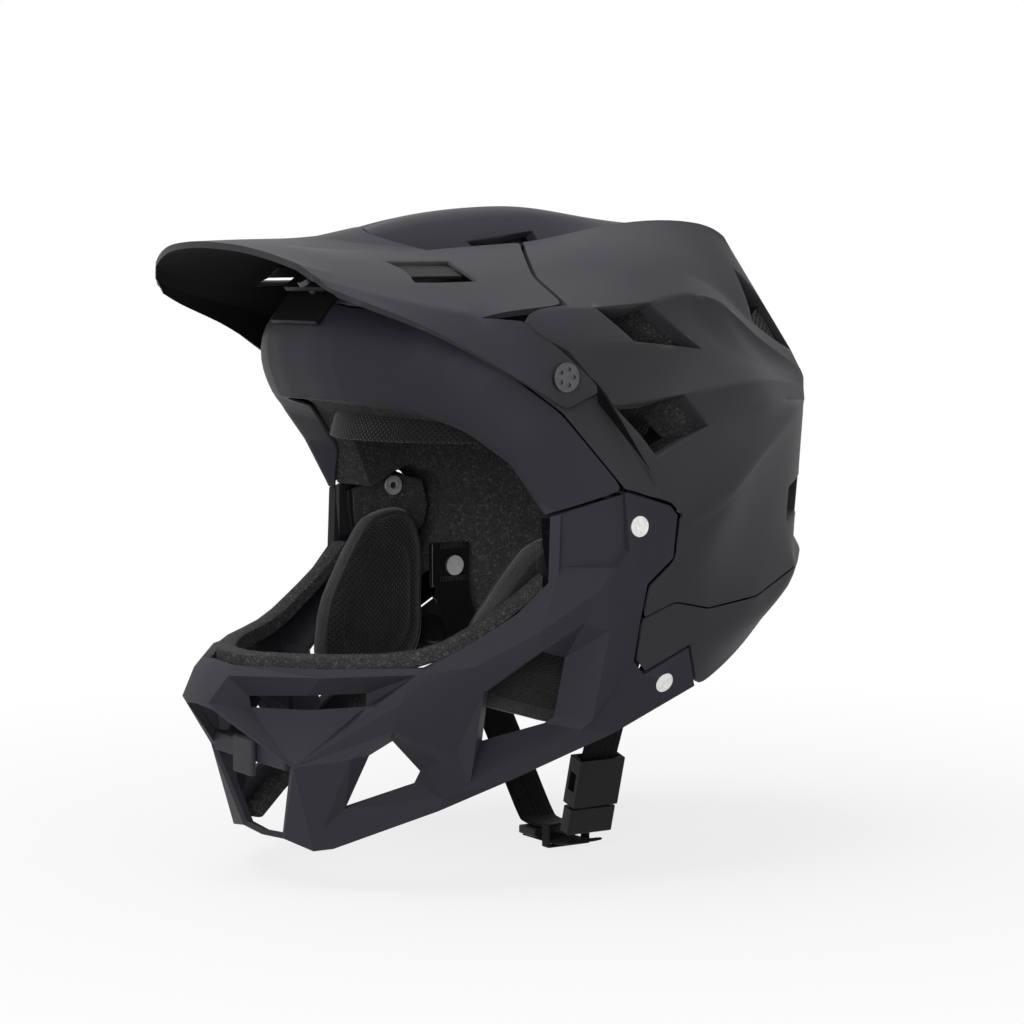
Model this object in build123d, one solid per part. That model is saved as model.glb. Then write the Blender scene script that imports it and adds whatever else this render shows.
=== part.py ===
from build123d import *
import os
from math import acos, cos, hypot, pi, radians, sin, sqrt

# Headform: every row of the shells is a share of these three sizes
form_half_breadth = 80.0
form_half_length = 100.0
form_height = 100.0

# Walls, seams and the space round the head
shell_wall = 3.2
seam_gap = 0.9
liner_clearance = 2.1
cavity_space = 4.0
crown_space = 3.0
cavity_centre_share = 0.15
cavity_half_breadth = form_half_breadth + cavity_space
cavity_half_length = form_half_length + cavity_space
cavity_crown = form_height + crown_space
cavity_centre = form_height * cavity_centre_share
vent_bevel_depth = 5.0
vent_bevel_share = 0.12
vent_plate_share = 0.125
vent_plate_top_share = 0.62
vent_plate_thickness = 1.6
cut_overrun = 2.0
round_sides = 16

# Visor and its fittings
visor_wall = 3.0
visor_edge_gap = 1.4
visor_underside_reach = 1.6
pivot_screw_diameter = 4.6
pivot_screw_head_diameter = 13.0
pivot_screw_head_height = 2.2
pivot_screw_length = 12.0
pivot_recess_diameter = 14.0
pivot_recess_depth = 1.0
pivot_running_gap = 0.05
pivot_face_gap = 0.3
pivot_socket_diameter = 1.9
pivot_socket_circle = 7.2
pivot_socket_depth = 1.0
pivot_socket_count = 5
pivot_boss_diameter = 11.0
pivot_boss_gap = 0.2
pivot_boss_start = 9.3
pivot_boss_length = 11.0
receiver_width = 42.0
receiver_thickness = 2.5
receiver_gap = 0.4
bracket_width = 36.0
bracket_web_width = 27.0
bracket_thickness = 2.6
bracket_clearance = 2.7
bracket_clearance_side = 0.3
bracket_slot_length = 12.0
bracket_screw_diameter = 4.0
bracket_screw_head_diameter = 8.0
bracket_screw_head_height = 2.5
bracket_screw_place = 3.5
bracket_slot_place = 6.8

# Chin bar and what holds it
chin_wall = 3.4
chin_edge_gap = 1.2
seat_clearance = 2.8
seat_wall = 3.0
seat_foam_gap = 0.3
rim_liner_thickness = 9.0
edge_liner_thickness = 8.0
chin_liner_height = 8.0
chin_liner_gap = 0.6
stud_diameter = 9.3
stud_head_height = 1.6
stud_stem_diameter = 6.0
stud_stem_length = 7.0
stud_hole_gap = 0.2
stud_recess_depth = 1.4
stud_web = 1.6
stud_collar_diameter = 8.2
stud_collar_height = 1.4
stud_slot_width = 7.4
stud_slot_length = 70.0
button_diameter = 9.3
button_proud = 0.8
button_flange_diameter = 11.2
button_flange_height = 1.0
button_hole_gap = 0.1
running_gap = 0.35
housing_diameter = 14.6
housing_bore = 11.8
housing_length = 7.0
housing_floor = 1.4
housing_gap = 0.2
crossbar_half_length = 34.0
crossbar_height = 9.0
crossbar_depth = 6.0
clip_width = 18.0
clip_height = 17.0
clip_depth = 3.0
clip_gap = 0.4
clip_drop = 2.0

# Chin strap
webbing_width = 20.0
webbing_thickness = 1.8
webbing_gap = 0.3
buckle_width = 25.0
buckle_thickness = 9.0
buckle_wall = 1.8
socket_length = 24.0
plug_length = 13.0
prong_length = 15.0
prong_width = 4.0
prong_thickness = 3.0
buckle_window_length = 9.0
buckle_window_width = 5.0
buckle_gap = 0.4
slider_width = 26.0
slider_length = 14.0
slider_thickness = 4.0
slider_bar = 3.0
keeper_width = 24.0
keeper_length = 6.0
keeper_thickness = 11.4
anchor_plate_size = 22.0
anchor_plate_thickness = 3.0
anchor_inset = 1.4
anchor_face = cavity_half_breadth - anchor_inset
rivet_diameter = 5.0
rivet_head_diameter = 10.0
rivet_head_height = 1.8
rivet_running_gap = 0.05
washer_diameter = 10.0
washer_thickness = 1.4
washer_hole = 3.2

# Comfort pads
wall_pad_clearance = 1.7
nape_pad_clearance = 2.9
crown_pad_clearance = 4.4
pad_thickness = 7.0
pad_edge_share = 0.4
pad_crown_power = 4
pad_rows = 8
pad_columns = 14
crown_pad_half_width = 13.0
crown_pad_middles = (-34.0, 0.0, 34.0)
cheek_pad_thickness = 19.0
cheek_back = 85.0
cheek_taper = 14.0
cheek_taper_reach = 80.0
cheek_space = 4.0
snap_diameter = 9.0
snap_length = 2.9
snap_gap = 1.3

os.makedirs("parts", exist_ok=True)


# Skin rows from the crown's centre line to the lower edge, points from the eyeport to the back
skin_shares = {
    "crest": [(0, -1.21, .58), (0, -1.27, .83), (0, -1.18, 1.01), (0, -1.04, 1.12), (0, -.91, 1.27),
              (0, -.91, 1.34), (0, -.55, 1.42), (0, -.12, 1.45), (0, .22, 1.41), (0, .48, 1.37),
              (0, .74, 1.34), (0, .95, 1.29)],
    "hump": [(.17, -1.21, .58), (.17, -1.27, .83), (.17, -1.18, 1.01), (.17, -1.05, 1.11), (.16, -.94, 1.24),
             (.16, -.94, 1.31), (.17, -.55, 1.38), (.19, -.12, 1.41), (.2, .22, 1.39), (.2, .48, 1.37),
             (.2, .74, 1.345), (.2, .95, 1.295)],
    "valley": [(.29, -1.2, .58), (.29, -1.26, .83), (.29, -1.17, 1.0), (.29, -1.06, 1.07), (.29, -.75, 1.13),
               (.29, -.6, 1.16), (.29, -.4, 1.2), (.3, -.08, 1.27), (.33, .22, 1.345), (.34, .48, 1.37),
               (.34, .74, 1.36), (.33, .94, 1.305)],
    "inner_crease": [(.38, -1.19, .58), (.38, -1.25, .82), (.37, -1.16, .99), (.36, -.98, 1.08), (.36, -.22, 1.215),
                     (.35, -.22, 1.28), (.35, -.08, 1.3), (.35, .08, 1.33), (.37, .28, 1.365), (.39, .52, 1.385),
                     (.4, .76, 1.37), (.375, .92, 1.31)],
    "plateau": [(.59, -1.13, .58), (.61, -1.18, .8), (.61, -1.09, .97), (.63, -.88, 1.04), (.63, -.35, 1.145),
                (.65, -.35, 1.21), (.64, -.14, 1.235), (.63, .12, 1.27), (.63, .36, 1.28), (.6, .6, 1.255),
                (.54, .88, 1.16), (.36, 1.18, .98)],
    "outer_crease": [(.78, -1.05, .57), (.85, -1.08, .76), (.88, -1.0, .92), (.89, -.8, .98), (.88, -.44, 1.06),
                     (.91, -.44, 1.12), (.9, -.12, 1.135), (.89, .12, 1.155), (.84, .38, 1.135), (.76, .64, 1.05),
                     (.63, .94, .89), (.35, 1.36, .75)],
    "upper_vent_top": [(.91, -.97, .53), (1.0, -.98, .7), (1.05, -.9, .83), (1.09, -.76, .87), (1.18, -.45, .96),
                       (1.24, -.45, 1.0), (1.23, -.31, .99), (1.12, .05, 1.0), (1.01, .32, 1.03), (.91, .58, .995),
                       (.73, .9, .83), (.35, 1.41, .67)],
    "tongue": [(.97, -.92, .5), (1.06, -.92, .65), (1.12, -.84, .79), (1.19, -.79, .84), (1.265, -.71, .905),
               (1.325, -.71, .945), (1.26, -.25, .935), (1.11, .21, .895), (1.01, .44, .92), (.91, .66, .89),
               (.71, .95, .77), (.35, 1.43, .64)],
    "upper_vent_low": [(1.02, -.88, .47), (1.12, -.86, .6), (1.2, -.77, .725), (1.25, -.69, .76), (1.3, -.58, .79),
                       (1.375, -.58, .81), (1.3, -.13, .83), (1.1, .37, .79), (1.0, .58, .76), (.89, .78, .72),
                       (.68, 1.05, .66), (.35, 1.44, .61)],
    "lower_vent_top": [(1.16, -.71, .32), (1.26, -.66, .43), (1.33, -.53, .53), (1.35, -.48, .55), (1.355, -.36, .59),
                       (1.43, -.36, .595), (1.405, -.31, .565), (1.32, .14, .59), (1.17, .52, .615), (1.0, .78, .625),
                       (.72, 1.07, .61), (.35, 1.44, .565)],
    "lower_vent_low": [(1.22, -.55, .08), (1.34, -.41, .13), (1.45, -.26, .19), (1.45, -.21, .22), (1.45, -.17, .25),
                       (1.45, -.13, .28), (1.44, -.08, .32), (1.3, .29, .45), (1.16, .57, .49), (.98, .84, .53),
                       (.71, 1.1, .535), (.36, 1.44, .51)],
    "tab_top": [None, None, (1.45, -.26, .19), (1.455, -.2, .175), (1.46, -.14, .155), (1.47, -.08, .14),
                (1.475, -.02, .12), (1.44, .18, .17), (1.33, .44, .26), (1.13, .72, .36), (.78, 1.1, .49),
                (.365, 1.43, .485)],
    "side_crease": [None] * 6 + [(1.475, .025, .07), (1.46, .1, .0), (1.375, .34, .09), (1.2, .62, .25),
                                 (.81, 1.08, .42), (.37, 1.425, .455)],
    "tab_step": [None] * 6 + [(1.475, 0, -.13), (1.46, .11, -.12), (1.395, .27, -.1), (1.225, .6, 0),
                              (.86, 1.08, .12), (.41, 1.37, .15)],
    "tab_waist": [None] * 6 + [(1.46, -.13, -.24), (1.46, .05, -.23), (1.4, .24, -.24), (1.225, .6, -.18),
                               (.875, 1.06, -.08), (.435, 1.335, -.03)],
    "lower_seam": [None] * 6 + [(1.44, -.155, -.39), (1.445, .02, -.325), (1.4, .23, -.37), (1.24, .6, -.35),
                                (.9, 1.04, -.26), (.45, 1.31, -.14)],
    "hook": [None] * 6 + [(1.375, -.155, -.58), (1.35, -.09, -.64), (1.4, .13, -.53), (1.27, .5, -.5),
                          (.95, .97, -.35), (.455, 1.33, -.175)],
    "lower_edge": [None] * 8 + [(1.28, .24, -.74), (1.03, .66, -.59), (.65, 1.17, -.33), (.45, 1.355, -.21)],
}
row_names = list(skin_shares)
crease_rows = ("inner_crease", "outer_crease", "upper_vent_top", "lower_vent_low", "side_crease", "lower_seam")
crease_columns = (2, 4, 5, 11)
rear_bulge_share = 0.035
rear_shoulder_share = 0.5

# Chin bar seat on the helmet's side, rows from the top down, points from the front to the back
seat_shares = [
    [(1.27, -.5, .06), (1.41, -.27, .145), (1.47, -.055, .105)],
    [(1.27, -.495, -.04), (1.42, -.25, 0), (1.47, -.02, -.03)],
    [(1.27, -.48, -.14), (1.41, -.26, -.12), (1.47, -.045, -.13)],
    [(1.26, -.45, -.26), (1.38, -.3, -.24), (1.455, -.17, -.235)],
    [(1.25, -.42, -.42), (1.35, -.3, -.4), (1.43, -.195, -.39)],
    [(1.21, -.38, -.6), (1.3, -.28, -.58), (1.37, -.195, -.57)],
]

# Visor rows from the centre to the lower edge, points from the lip to the back
visor_shares = {
    "crest": [(0, -1.77, 1.28), (0, -1.5, 1.29), (0, -1.3, 1.295), (0, -1.12, 1.31), (0, -.92, 1.35)],
    "hump": [(.19, -1.765, 1.275), (.19, -1.5, 1.285), (.18, -1.3, 1.28), (.17, -1.12, 1.285), (.16, -.95, 1.32)],
    "inner_crease": [(.38, -1.745, 1.265), (.37, -1.5, 1.265), (.36, -1.27, 1.245), (.36, -.75, 1.245),
                     (.35, -.23, 1.28)],
    "plateau": [(.62, -1.7, 1.235), (.62, -1.4, 1.215), (.62, -1.1, 1.195), (.63, -.76, 1.195), (.65, -.36, 1.21)],
    "outer_crease": [(.85, -1.64, 1.185), (.91, -1.36, 1.12), (.925, -1.09, 1.1), (.92, -.745, 1.105),
                     (.91, -.45, 1.12)],
    "groove": [(.96, -1.6, 1.13), (1.05, -1.4, 1.065), (1.15, -1.12, 1.0), (1.25, -.9, .96), (1.323, -.735, .945)],
    "lower_edge": [(1.03, -1.56, 1.07), (1.15, -1.39, 1.0), (1.225, -1.16, .9), (1.3, -.94, .775)],
}
groove_back_share = (1.24, -.46, 1.0)
visor_arm_shares = [
    [(1.25, -.9, .96), (1.3, -.94, .775)],
    [(1.323, -.735, .945), (1.34, -.82, .705)],
    [(1.373, -.6, .81), (1.39, -.68, .62)],
    [(1.428, -.384, .613), (1.42, -.54, .54)],
]
visor_vent_cell = ("plateau", 2)
visor_vent_floor_share = 0.6
pivot_share = (1.396, -.55, .69)

# Brow slope under the visor's middle, seen from the side: y and z of its foot, its bend and its top
brow_shares = [(-1.244, .929), (-1.18, 1.01), (-1.04, 1.12)]
receiver_start_share = -0.3
receiver_end_share = 0.6
bracket_end_share = 0.97
bracket_web_foot_shares = (0.8, 0.98)
bracket_web_shares = [(-1.114, 1.24), (-1.165, 1.25), (-1.165, 1.268), (-1.035, 1.268), (-1.035, 1.25), (-1.084, 1.24)]

# Chin bar corners, one side, as shares of the headform
chin_shares = {
    "rim_mid": (0, -1.68, -.575), "rim_corner": (.19, -1.67, -.585), "rim_side": (.66, -1.42, -.58),
    "rim_low": (1.0, -1.08, -.57), "rim_rise": (1.1, -.89, -.465), "rim_high": (1.175, -.695, -.345),
    "strip_foot": (1.225, -.56, -.215), "strip_head": (1.225, -.55, .08),
    "nose_mid": (0, -1.74, -.635), "nose_top": (.21, -1.71, -.64), "scoop_top": (.66, -1.44, -.63),
    "scoop_end": (.985, -1.11, -.61), "tip_mid": (0, -1.8, -.75), "tip": (.16, -1.79, -.76),
    "ridge": (.495, -1.51, -1.04), "foot": (.24, -1.45, -1.41), "foot_mid": (0, -1.46, -1.42),
    "grille_tip_mid": (0, -1.775, -.79), "grille_tip": (.14, -1.765, -.8), "grille_ridge": (.43, -1.5, -1.04),
    "grille_foot": (.205, -1.44, -1.365), "grille_foot_mid": (0, -1.45, -1.37),
    "slot_front_top": (.24, -1.61, -.74), "slot_mid_top": (.5, -1.44, -.73), "slot_back_top": (.68, -1.23, -.715),
    "slot_front_low": (.24, -1.6, -.775), "slot_mid_low": (.5, -1.43, -.775), "slot_back_low": (.67, -1.23, -.76),
    "crease_front": (.94, -1.175, -.74), "crease_mid": (1.16, -.9, -.575), "crease_back": (1.29, -.615, -.425),
    "crease_end": (1.375, -.36, -.26),
    "front_top": (.9, -1.18, -.86), "front_left": (.75, -1.335, -.99), "front_foot": (.54, -1.38, -1.32),
    "front_heel": (.925, -.945, -1.185), "front_right": (.99, -.985, -1.005),
    "front_in_top": (.775, -1.135, -.925), "front_in_left": (.7, -1.21, -.99), "front_in_foot": (.6, -1.29, -1.22),
    "front_in_heel": (.775, -1.03, -1.11), "front_in_right": (.81, -1.02, -1.06),
    "fold_front": (1.0, -1.065, -.81), "fold_back": (1.125, -.88, -.71), "fold_point": (1.0, -.915, -.97),
    "rear_front": (1.14, -.84, -.69), "rear_top": (1.29, -.615, -.515), "rear_peak": (1.34, -.415, -.4),
    "rear_corner": (1.39, -.305, -.435), "rear_heel": (1.3, -.35, -.845), "rear_low": (1.265, -.39, -.885),
    "rear_foot": (1.04, -.86, -1.105),
    "rear_in_front": (1.0, -.745, -.705), "rear_in_top": (1.125, -.52, -.54), "rear_in_corner": (1.16, -.435, -.57),
    "rear_in_heel": (1.125, -.475, -.825), "rear_in_low": (1.1, -.505, -.85), "rear_in_foot": (.925, -.74, -.93),
    "edge_front": (.475, -1.4, -1.44), "edge_round": (.56, -1.335, -1.425), "edge_mid": (.9, -.95, -1.25),
    "edge_back": (1.05, -.645, -1.12), "edge_heel": (1.225, -.19, -.93), "edge_end": (1.28, .24, -.74),
    "strip_in_head": (1.27, -.505, .095), "strip_in_foot": (1.265, -.51, -.185),
    "cheek_head": (1.245, -.495, .095), "cheek_back": (1.405, -.25, .18), "cheek_step": (1.39, -.23, -.075),
    "cheek_heel": (1.365, -.27, -.135), "cheek_foot": (1.24, -.495, -.15),
    "step_high": (1.45, -.235, -.085), "step_low": (1.41, -.28, -.16),
    "tab_front": (1.45, -.26, .19), "tab_back": (1.475, -.02, .12), "tab_round": (1.475, .025, .07),
    "tab_side": (1.475, 0, -.13), "tab_waist": (1.46, -.13, -.24), "tab_low": (1.44, -.155, -.39),
    "notch_top": (1.375, -.155, -.58), "notch_low": (1.35, -.09, -.64), "prong_top": (1.4, .13, -.53),
}
chin_faces = """
rim_mid rim_corner nose_top nose_mid
nose_mid nose_top tip tip_mid
tip_mid tip grille_tip grille_tip_mid
tip ridge grille_ridge grille_tip
ridge foot grille_foot grille_ridge
foot foot_mid grille_foot_mid grille_foot
rim_corner rim_side scoop_top nose_top
rim_side rim_low scoop_end scoop_top
nose_top scoop_top slot_mid_top slot_front_top
scoop_top scoop_end slot_back_top slot_mid_top
nose_top slot_front_top tip
tip slot_front_top slot_front_low
tip slot_front_low ridge
slot_front_low slot_mid_low ridge
slot_mid_low slot_back_low ridge
slot_back_low scoop_end ridge
slot_back_top scoop_end slot_back_low
ridge scoop_end crease_front
scoop_end rim_low rim_rise
scoop_end rim_rise crease_mid crease_front
rim_rise rim_high crease_back crease_mid
rim_high strip_foot crease_back
strip_foot strip_in_foot crease_back
strip_in_foot crease_end crease_back
strip_in_foot step_low crease_end
strip_head strip_in_head strip_in_foot strip_foot
strip_in_head cheek_head cheek_foot strip_in_foot
cheek_head cheek_back cheek_step cheek_heel
cheek_head cheek_heel cheek_foot
strip_in_foot cheek_foot cheek_heel step_low
step_low cheek_heel cheek_step step_high
step_high cheek_step cheek_back tab_front
tab_front tab_back tab_round step_high
step_high tab_round tab_side
step_high tab_side tab_waist step_low
step_low tab_waist crease_end
crease_end rear_corner rear_peak
crease_end tab_waist rear_corner
tab_waist tab_low rear_corner
tab_low rear_heel rear_corner
tab_low notch_top rear_heel
notch_top rear_low rear_heel
notch_top edge_heel rear_low
notch_top notch_low edge_heel
notch_low edge_end edge_heel
notch_low prong_top edge_end
ridge crease_front front_top
ridge front_top front_left
ridge front_left front_foot
ridge front_foot edge_front
ridge edge_front foot
front_foot edge_round edge_front
front_foot front_heel edge_mid
front_foot edge_mid edge_round
crease_front fold_front front_top
front_top fold_front fold_point
front_top fold_point front_right
crease_front crease_mid fold_back
crease_front fold_back fold_front
fold_front fold_back fold_point
fold_back crease_mid rear_front
fold_back rear_front fold_point
fold_point rear_front rear_foot
fold_point rear_foot front_right
front_right rear_foot front_heel
front_heel rear_foot edge_back
front_heel edge_back edge_mid
rear_foot rear_low edge_back
rear_low edge_heel edge_back
crease_mid crease_back rear_top
crease_mid rear_top rear_front
crease_back crease_end rear_peak
crease_back rear_peak rear_top
front_top front_left front_in_left front_in_top
front_left front_foot front_in_foot front_in_left
front_foot front_heel front_in_heel front_in_foot
front_heel front_right front_in_right front_in_heel
front_right front_top front_in_top front_in_right
rear_front rear_top rear_in_top rear_in_front
rear_top rear_peak rear_in_corner rear_in_top
rear_peak rear_corner rear_in_corner
rear_corner rear_heel rear_in_heel rear_in_corner
rear_heel rear_low rear_in_low rear_in_heel
rear_low rear_foot rear_in_foot rear_in_low
rear_foot rear_front rear_in_front rear_in_foot
"""
chin_first_face_outward_share = (0, -1, 1)
rim_liner_names = "rim_mid rim_corner rim_side rim_low rim_rise rim_high strip_foot"
rim_liner_lift_shares = [-.006, -.004, 0, 0, 0, 0, -.01]
edge_liner_names = "edge_round edge_mid edge_back edge_heel"
edge_liner_lift_share = 0.055
liner_section_shares = [(-.5, -.3), (-.42, -.5), (.42, -.5), (.5, -.3), (.5, .2), (.36, .5), (-.36, .5), (-.5, .2)]
crossbar_share = (0, -1.495, -1.015)
stud_share = (1.459, -.185, .025)
button_share = (1.3, .04, -.7)
button_axis_share = (.94, .055, -.34)
slide_share = (0, -.9, -.45)

# Chin strap in its hanging plane: x and z down the left side, along the bottom and up the right side
strap_plane_share = 0.05
anchor_share = -0.33
strap_left_shares = [(.98, -.22), (.98, -.42), (.93, -.55), (.63, -1.14)]
socket_shares = [(.635, -1.115), (.555, -1.345)]
plug_shares = [(.55, -1.36), (.508, -1.481)]
slider_share = (.12, -1.525)
strap_right_shares = [(.515, -1.45), (.49, -1.48), (.42, -1.493), (.2, -1.493), (.04, -1.493), (-.04, -1.455),
                      (-.93, -.55), (-.98, -.42), (-.98, -.22)]
strap_end_shares = [(.02, -1.558), (.13, -1.558), (.3, -1.558), (.42, -1.55), (.5, -1.535)]
keeper_shares = [(.25, -1.525), (.35, -1.525)]
temple_washer_share = (1.062, -.25, .08)

# Cheek pads: y and z of the outline, from the top round the back, and where the pads snap on
cheek_outline_shares = [(-.46, -.06), (-.25, -.03), (-.16, -.18), (-.155, -.45), (-.17, -.7), (-.32, -.88),
                        (-.55, -.84), (-.78, -.75), (-.79, -.6), (-.75, -.45), (-.66, -.3), (-.57, -.17)]
snap_shares = [(-.3, -.3), (-.3, -.55), (-.44, -.4)]

# Pads on the cavity: from and to azimuth round the head from the front, from and to elevation, in degrees
brow_pad_angles = (-56, 56, 13, 33)
side_pad_angles = [(68, 100, 12, 41), (106, 140, 12, 38)]
nape_pad_angles = (146, 214, -3, 16)
crown_pad_reach = (52, 120)
cheek_level_shares = [(1, .45), (.9, .72), (.74, .9), (.5, .98), (.25, 1)]


# Vectors as plain tuples

def place(share):
    return (share[0] * form_half_breadth, share[1] * form_half_length, share[2] * form_height)


def add(a, b, scale=1):
    return tuple(p + q * scale for p, q in zip(a, b))


def span(a, b):
    return tuple(q - p for p, q in zip(a, b))


def dot(a, b):
    return sum(p * q for p, q in zip(a, b))


def cross(a, b):
    return (a[1] * b[2] - a[2] * b[1], a[2] * b[0] - a[0] * b[2], a[0] * b[1] - a[1] * b[0])


def unit(a):
    length = sqrt(dot(a, a)) or 1
    return tuple(p / length for p in a)


def mean(points):
    return tuple(sum(values) / len(points) for values in zip(*points))


def mirrored(point):
    return (-point[0], point[1], point[2])


def key(point):
    return tuple(round(value * 1000) for value in point)


# Smooth patches through hand placed rows

def halfway(before, a, b, after, known):
    """The point between a and b on a smooth line through its neighbours, the same from either patch."""
    name = frozenset((key(a), key(b)))
    if name not in known:
        if before is None and a[0] == 0 and b[0] > 0:
            before = mirrored(b)
        if key(a) == key(b) or (before is None and after is None):
            known[name] = mean([a, b])
        elif before is None:
            known[name] = tuple((3 * p + 6 * q - r) / 8 for p, q, r in zip(a, b, after))
        elif after is None:
            known[name] = tuple((3 * q + 6 * p - r) / 8 for p, q, r in zip(a, b, before))
        else:
            known[name] = tuple((9 * (p + q) - r - s) / 16 for p, q, r, s in zip(a, b, before, after))
    return known[name]


def denser(line, breaks, known):
    dense = []
    for index, point in enumerate(line):
        if index:
            last = line[index - 1]
            if point is None or last is None:
                dense.append(None)
            else:
                before = line[index - 2] if index > 1 and index - 1 not in breaks else None
                after = line[index + 1] if index + 1 < len(line) and index not in breaks else None
                dense.append(halfway(before, last, point, after, known))
        dense.append(point)
    return dense


def refined(rows, row_breaks, column_breaks, known, row_corners={}, column_corners={}):
    """The patch with one more point between every two, crossing creases without rounding them."""
    rows = [denser(row, column_breaks | row_corners.get(index, set()), known) for index, row in enumerate(rows)]
    columns = [denser(list(column), row_breaks | column_corners.get(index / 2, set()), known)
               for index, column in enumerate(zip(*rows))]
    return [list(row) for row in zip(*columns)]


def patch_faces(rows, tag_of, finer=2):
    faces = []
    for i in range(len(rows) - 1):
        for j in range(len(rows[0]) - 1):
            corners = [rows[i][j], rows[i + 1][j], rows[i + 1][j + 1], rows[i][j + 1]]
            tag = tag_of(i // finer, j // finer)
            if tag and None not in corners:
                faces.append((tag, corners))
    return faces


def both_sides(faces):
    return faces + [(tag, [mirrored(p) for p in reversed(corners)]) for tag, corners in faces]


# Meshes: a list of points and a list of loops of indices, seen from outside anticlockwise

def mesh_of(polygons):
    points, index, loops = [], {}, []
    for polygon in polygons:
        loop = []
        for point in polygon:
            name = key(point)
            if name not in index:
                index[name] = len(points)
                points.append(point)
            if index[name] not in loop:
                loop.append(index[name])
        if len(loop) > 2:
            loops.append(loop)
    return points, loops


def edges_of(loop):
    return list(zip(loop, loop[1:] + loop[:1]))


def border_of(loops):
    every = {edge for loop in loops for edge in edges_of(loop)}
    return [edge for edge in every if (edge[1], edge[0]) not in every]


def normal_of(points, loop):
    total = (0, 0, 0)
    first = points[loop[0]]
    for a, b in zip(loop[1:], loop[2:]):
        total = add(total, cross(span(first, points[a]), span(first, points[b])))
    return unit(total)


def moved(points, loops, distance):
    """The points moved by a distance along the surface's normal, so that each face moves by it."""
    normals = [normal_of(points, loop) for loop in loops]
    around = [[] for _ in points]
    for loop, normal in zip(loops, normals):
        for place_in_loop, corner in enumerate(loop):
            back = unit(span(points[corner], points[loop[place_in_loop - 1]]))
            ahead = unit(span(points[corner], points[loop[(place_in_loop + 1) % len(loop)]]))
            angle = acos(max(-1, min(1, dot(back, ahead))))
            around[corner].append((normal, angle))
    result = []
    for point, faces in zip(points, around):
        if not faces:
            result.append(point)
            continue
        total = (0, 0, 0)
        for normal, angle in faces:
            total = add(total, normal, angle)
        direction = unit(total)
        reach = sum(dot(direction, normal) * angle for normal, angle in faces) / sum(a for _, a in faces)
        result.append(add(point, direction, distance / max(reach, 0.6)))
    return result


def drawn_in(points, loops, distance):
    """The points with those on the border moved into the surface by a distance."""
    pulls = {}
    face_of = {edge: loop for loop in loops for edge in edges_of(loop)}
    for a, b in border_of(loops):
        inward = unit(cross(normal_of(points, face_of[(a, b)]), span(points[a], points[b])))
        for corner in (a, b):
            pulls.setdefault(corner, []).append(inward)
    result = list(points)
    for corner, inwards in pulls.items():
        direction = unit(mean(inwards))
        reach = sum(dot(direction, inward) for inward in inwards) / len(inwards)
        result[corner] = add(points[corner], direction, distance / max(reach, 0.5))
    return result


def rings(edges):
    """The closed loops that a set of directed edges makes."""
    ahead = dict(edges)
    loops = []
    while ahead:
        start, corner = next(iter(ahead.items()))
        loop = [start]
        del ahead[start]
        while corner != start:
            loop.append(corner)
            corner = ahead.pop(corner)
        loops.append(loop)
    return loops


def sunk_vents(faces, depth, share):
    """The faces with each group whose tag starts with vent replaced by a bevel that runs inwards."""
    kept = [face for face in faces if not face[0].startswith("vent")]
    groups = {}
    for tag, corners in faces:
        if tag.startswith("vent"):
            groups.setdefault(tag, []).append(corners)
    for tag, polygons in groups.items():
        piece = "lower" if tag.endswith("lower") else "shell"
        points, loops = mesh_of(polygons)
        inward = unit(mean([normal_of(points, loop) for loop in loops]))
        for ring in rings(border_of(loops)):
            outline = [points[corner] for corner in ring]
            middle = mean(outline)
            inner = [add(add(p, span(p, middle), share), inward, -depth) for p in outline]
            for index in range(len(outline)):
                after = (index + 1) % len(outline)
                kept.append((piece, [outline[index], outline[after], inner[after], inner[index]]))
    return kept


def agreeing(loops):
    """The loops turned so that neighbours run opposite ways along their shared edge."""
    at_edge = {}
    for number, loop in enumerate(loops):
        for a, b in edges_of(loop):
            at_edge.setdefault(frozenset((a, b)), []).append(number)
    result = {0: loops[0]}
    queue = [0]
    while queue:
        number = queue.pop()
        for a, b in edges_of(result[number]):
            for other in at_edge[frozenset((a, b))]:
                if other not in result:
                    loop = loops[other]
                    result[other] = list(reversed(loop)) if (a, b) in edges_of(loop) else loop
                    queue.append(other)
    return [result[number] for number in range(len(loops))]


# Solids from meshes

def triangles(points, loop):
    if len(loop) == 3:
        return [tuple(loop)]
    if len(loop) == 4:
        a, b, c, d = loop
        across = dot(span(points[a], points[c]), span(points[a], points[c]))
        other = dot(span(points[b], points[d]), span(points[b], points[d]))
        return [(a, b, c), (a, c, d)] if across <= other else [(b, c, d), (b, d, a)]
    return [(loop[0], loop[index], loop[index + 1]) for index in range(1, len(loop) - 1)]


def flat_faced(points, loops):
    """The solid that triangles close in, turned outwards."""
    every = [corners for loop in loops for corners in triangles(points, loop)]
    if sum(dot(points[a], cross(points[b], points[c])) for a, b, c in every) < 0:
        every = [(a, c, b) for a, b, c in every]
    outlines = [[Vector(*points[corner]) for corner in corners] for corners in every]
    return Solid(Shell([Face(Wire.make_polygon(outline, close=True)) for outline in outlines
                        if (outline[1] - outline[0]).cross(outline[2] - outline[0]).length > 0]))


def between(outer, inner, loops):
    """The solid between two surfaces with the same loops."""
    shift = len(outer)
    walls = list(loops)
    walls += [[corner + shift for corner in reversed(loop)] for loop in loops]
    walls += [[b, a, a + shift, b + shift] for a, b in border_of(loops)]
    return flat_faced(list(outer) + list(inner), walls)


def thick(points, loops, top, bottom, gap=0):
    """The solid between two depths under a surface, its border drawn in by a gap."""
    points = drawn_in(points, loops, gap) if gap else points
    return between(moved(points, loops, -top), moved(points, loops, -bottom), loops)


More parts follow.
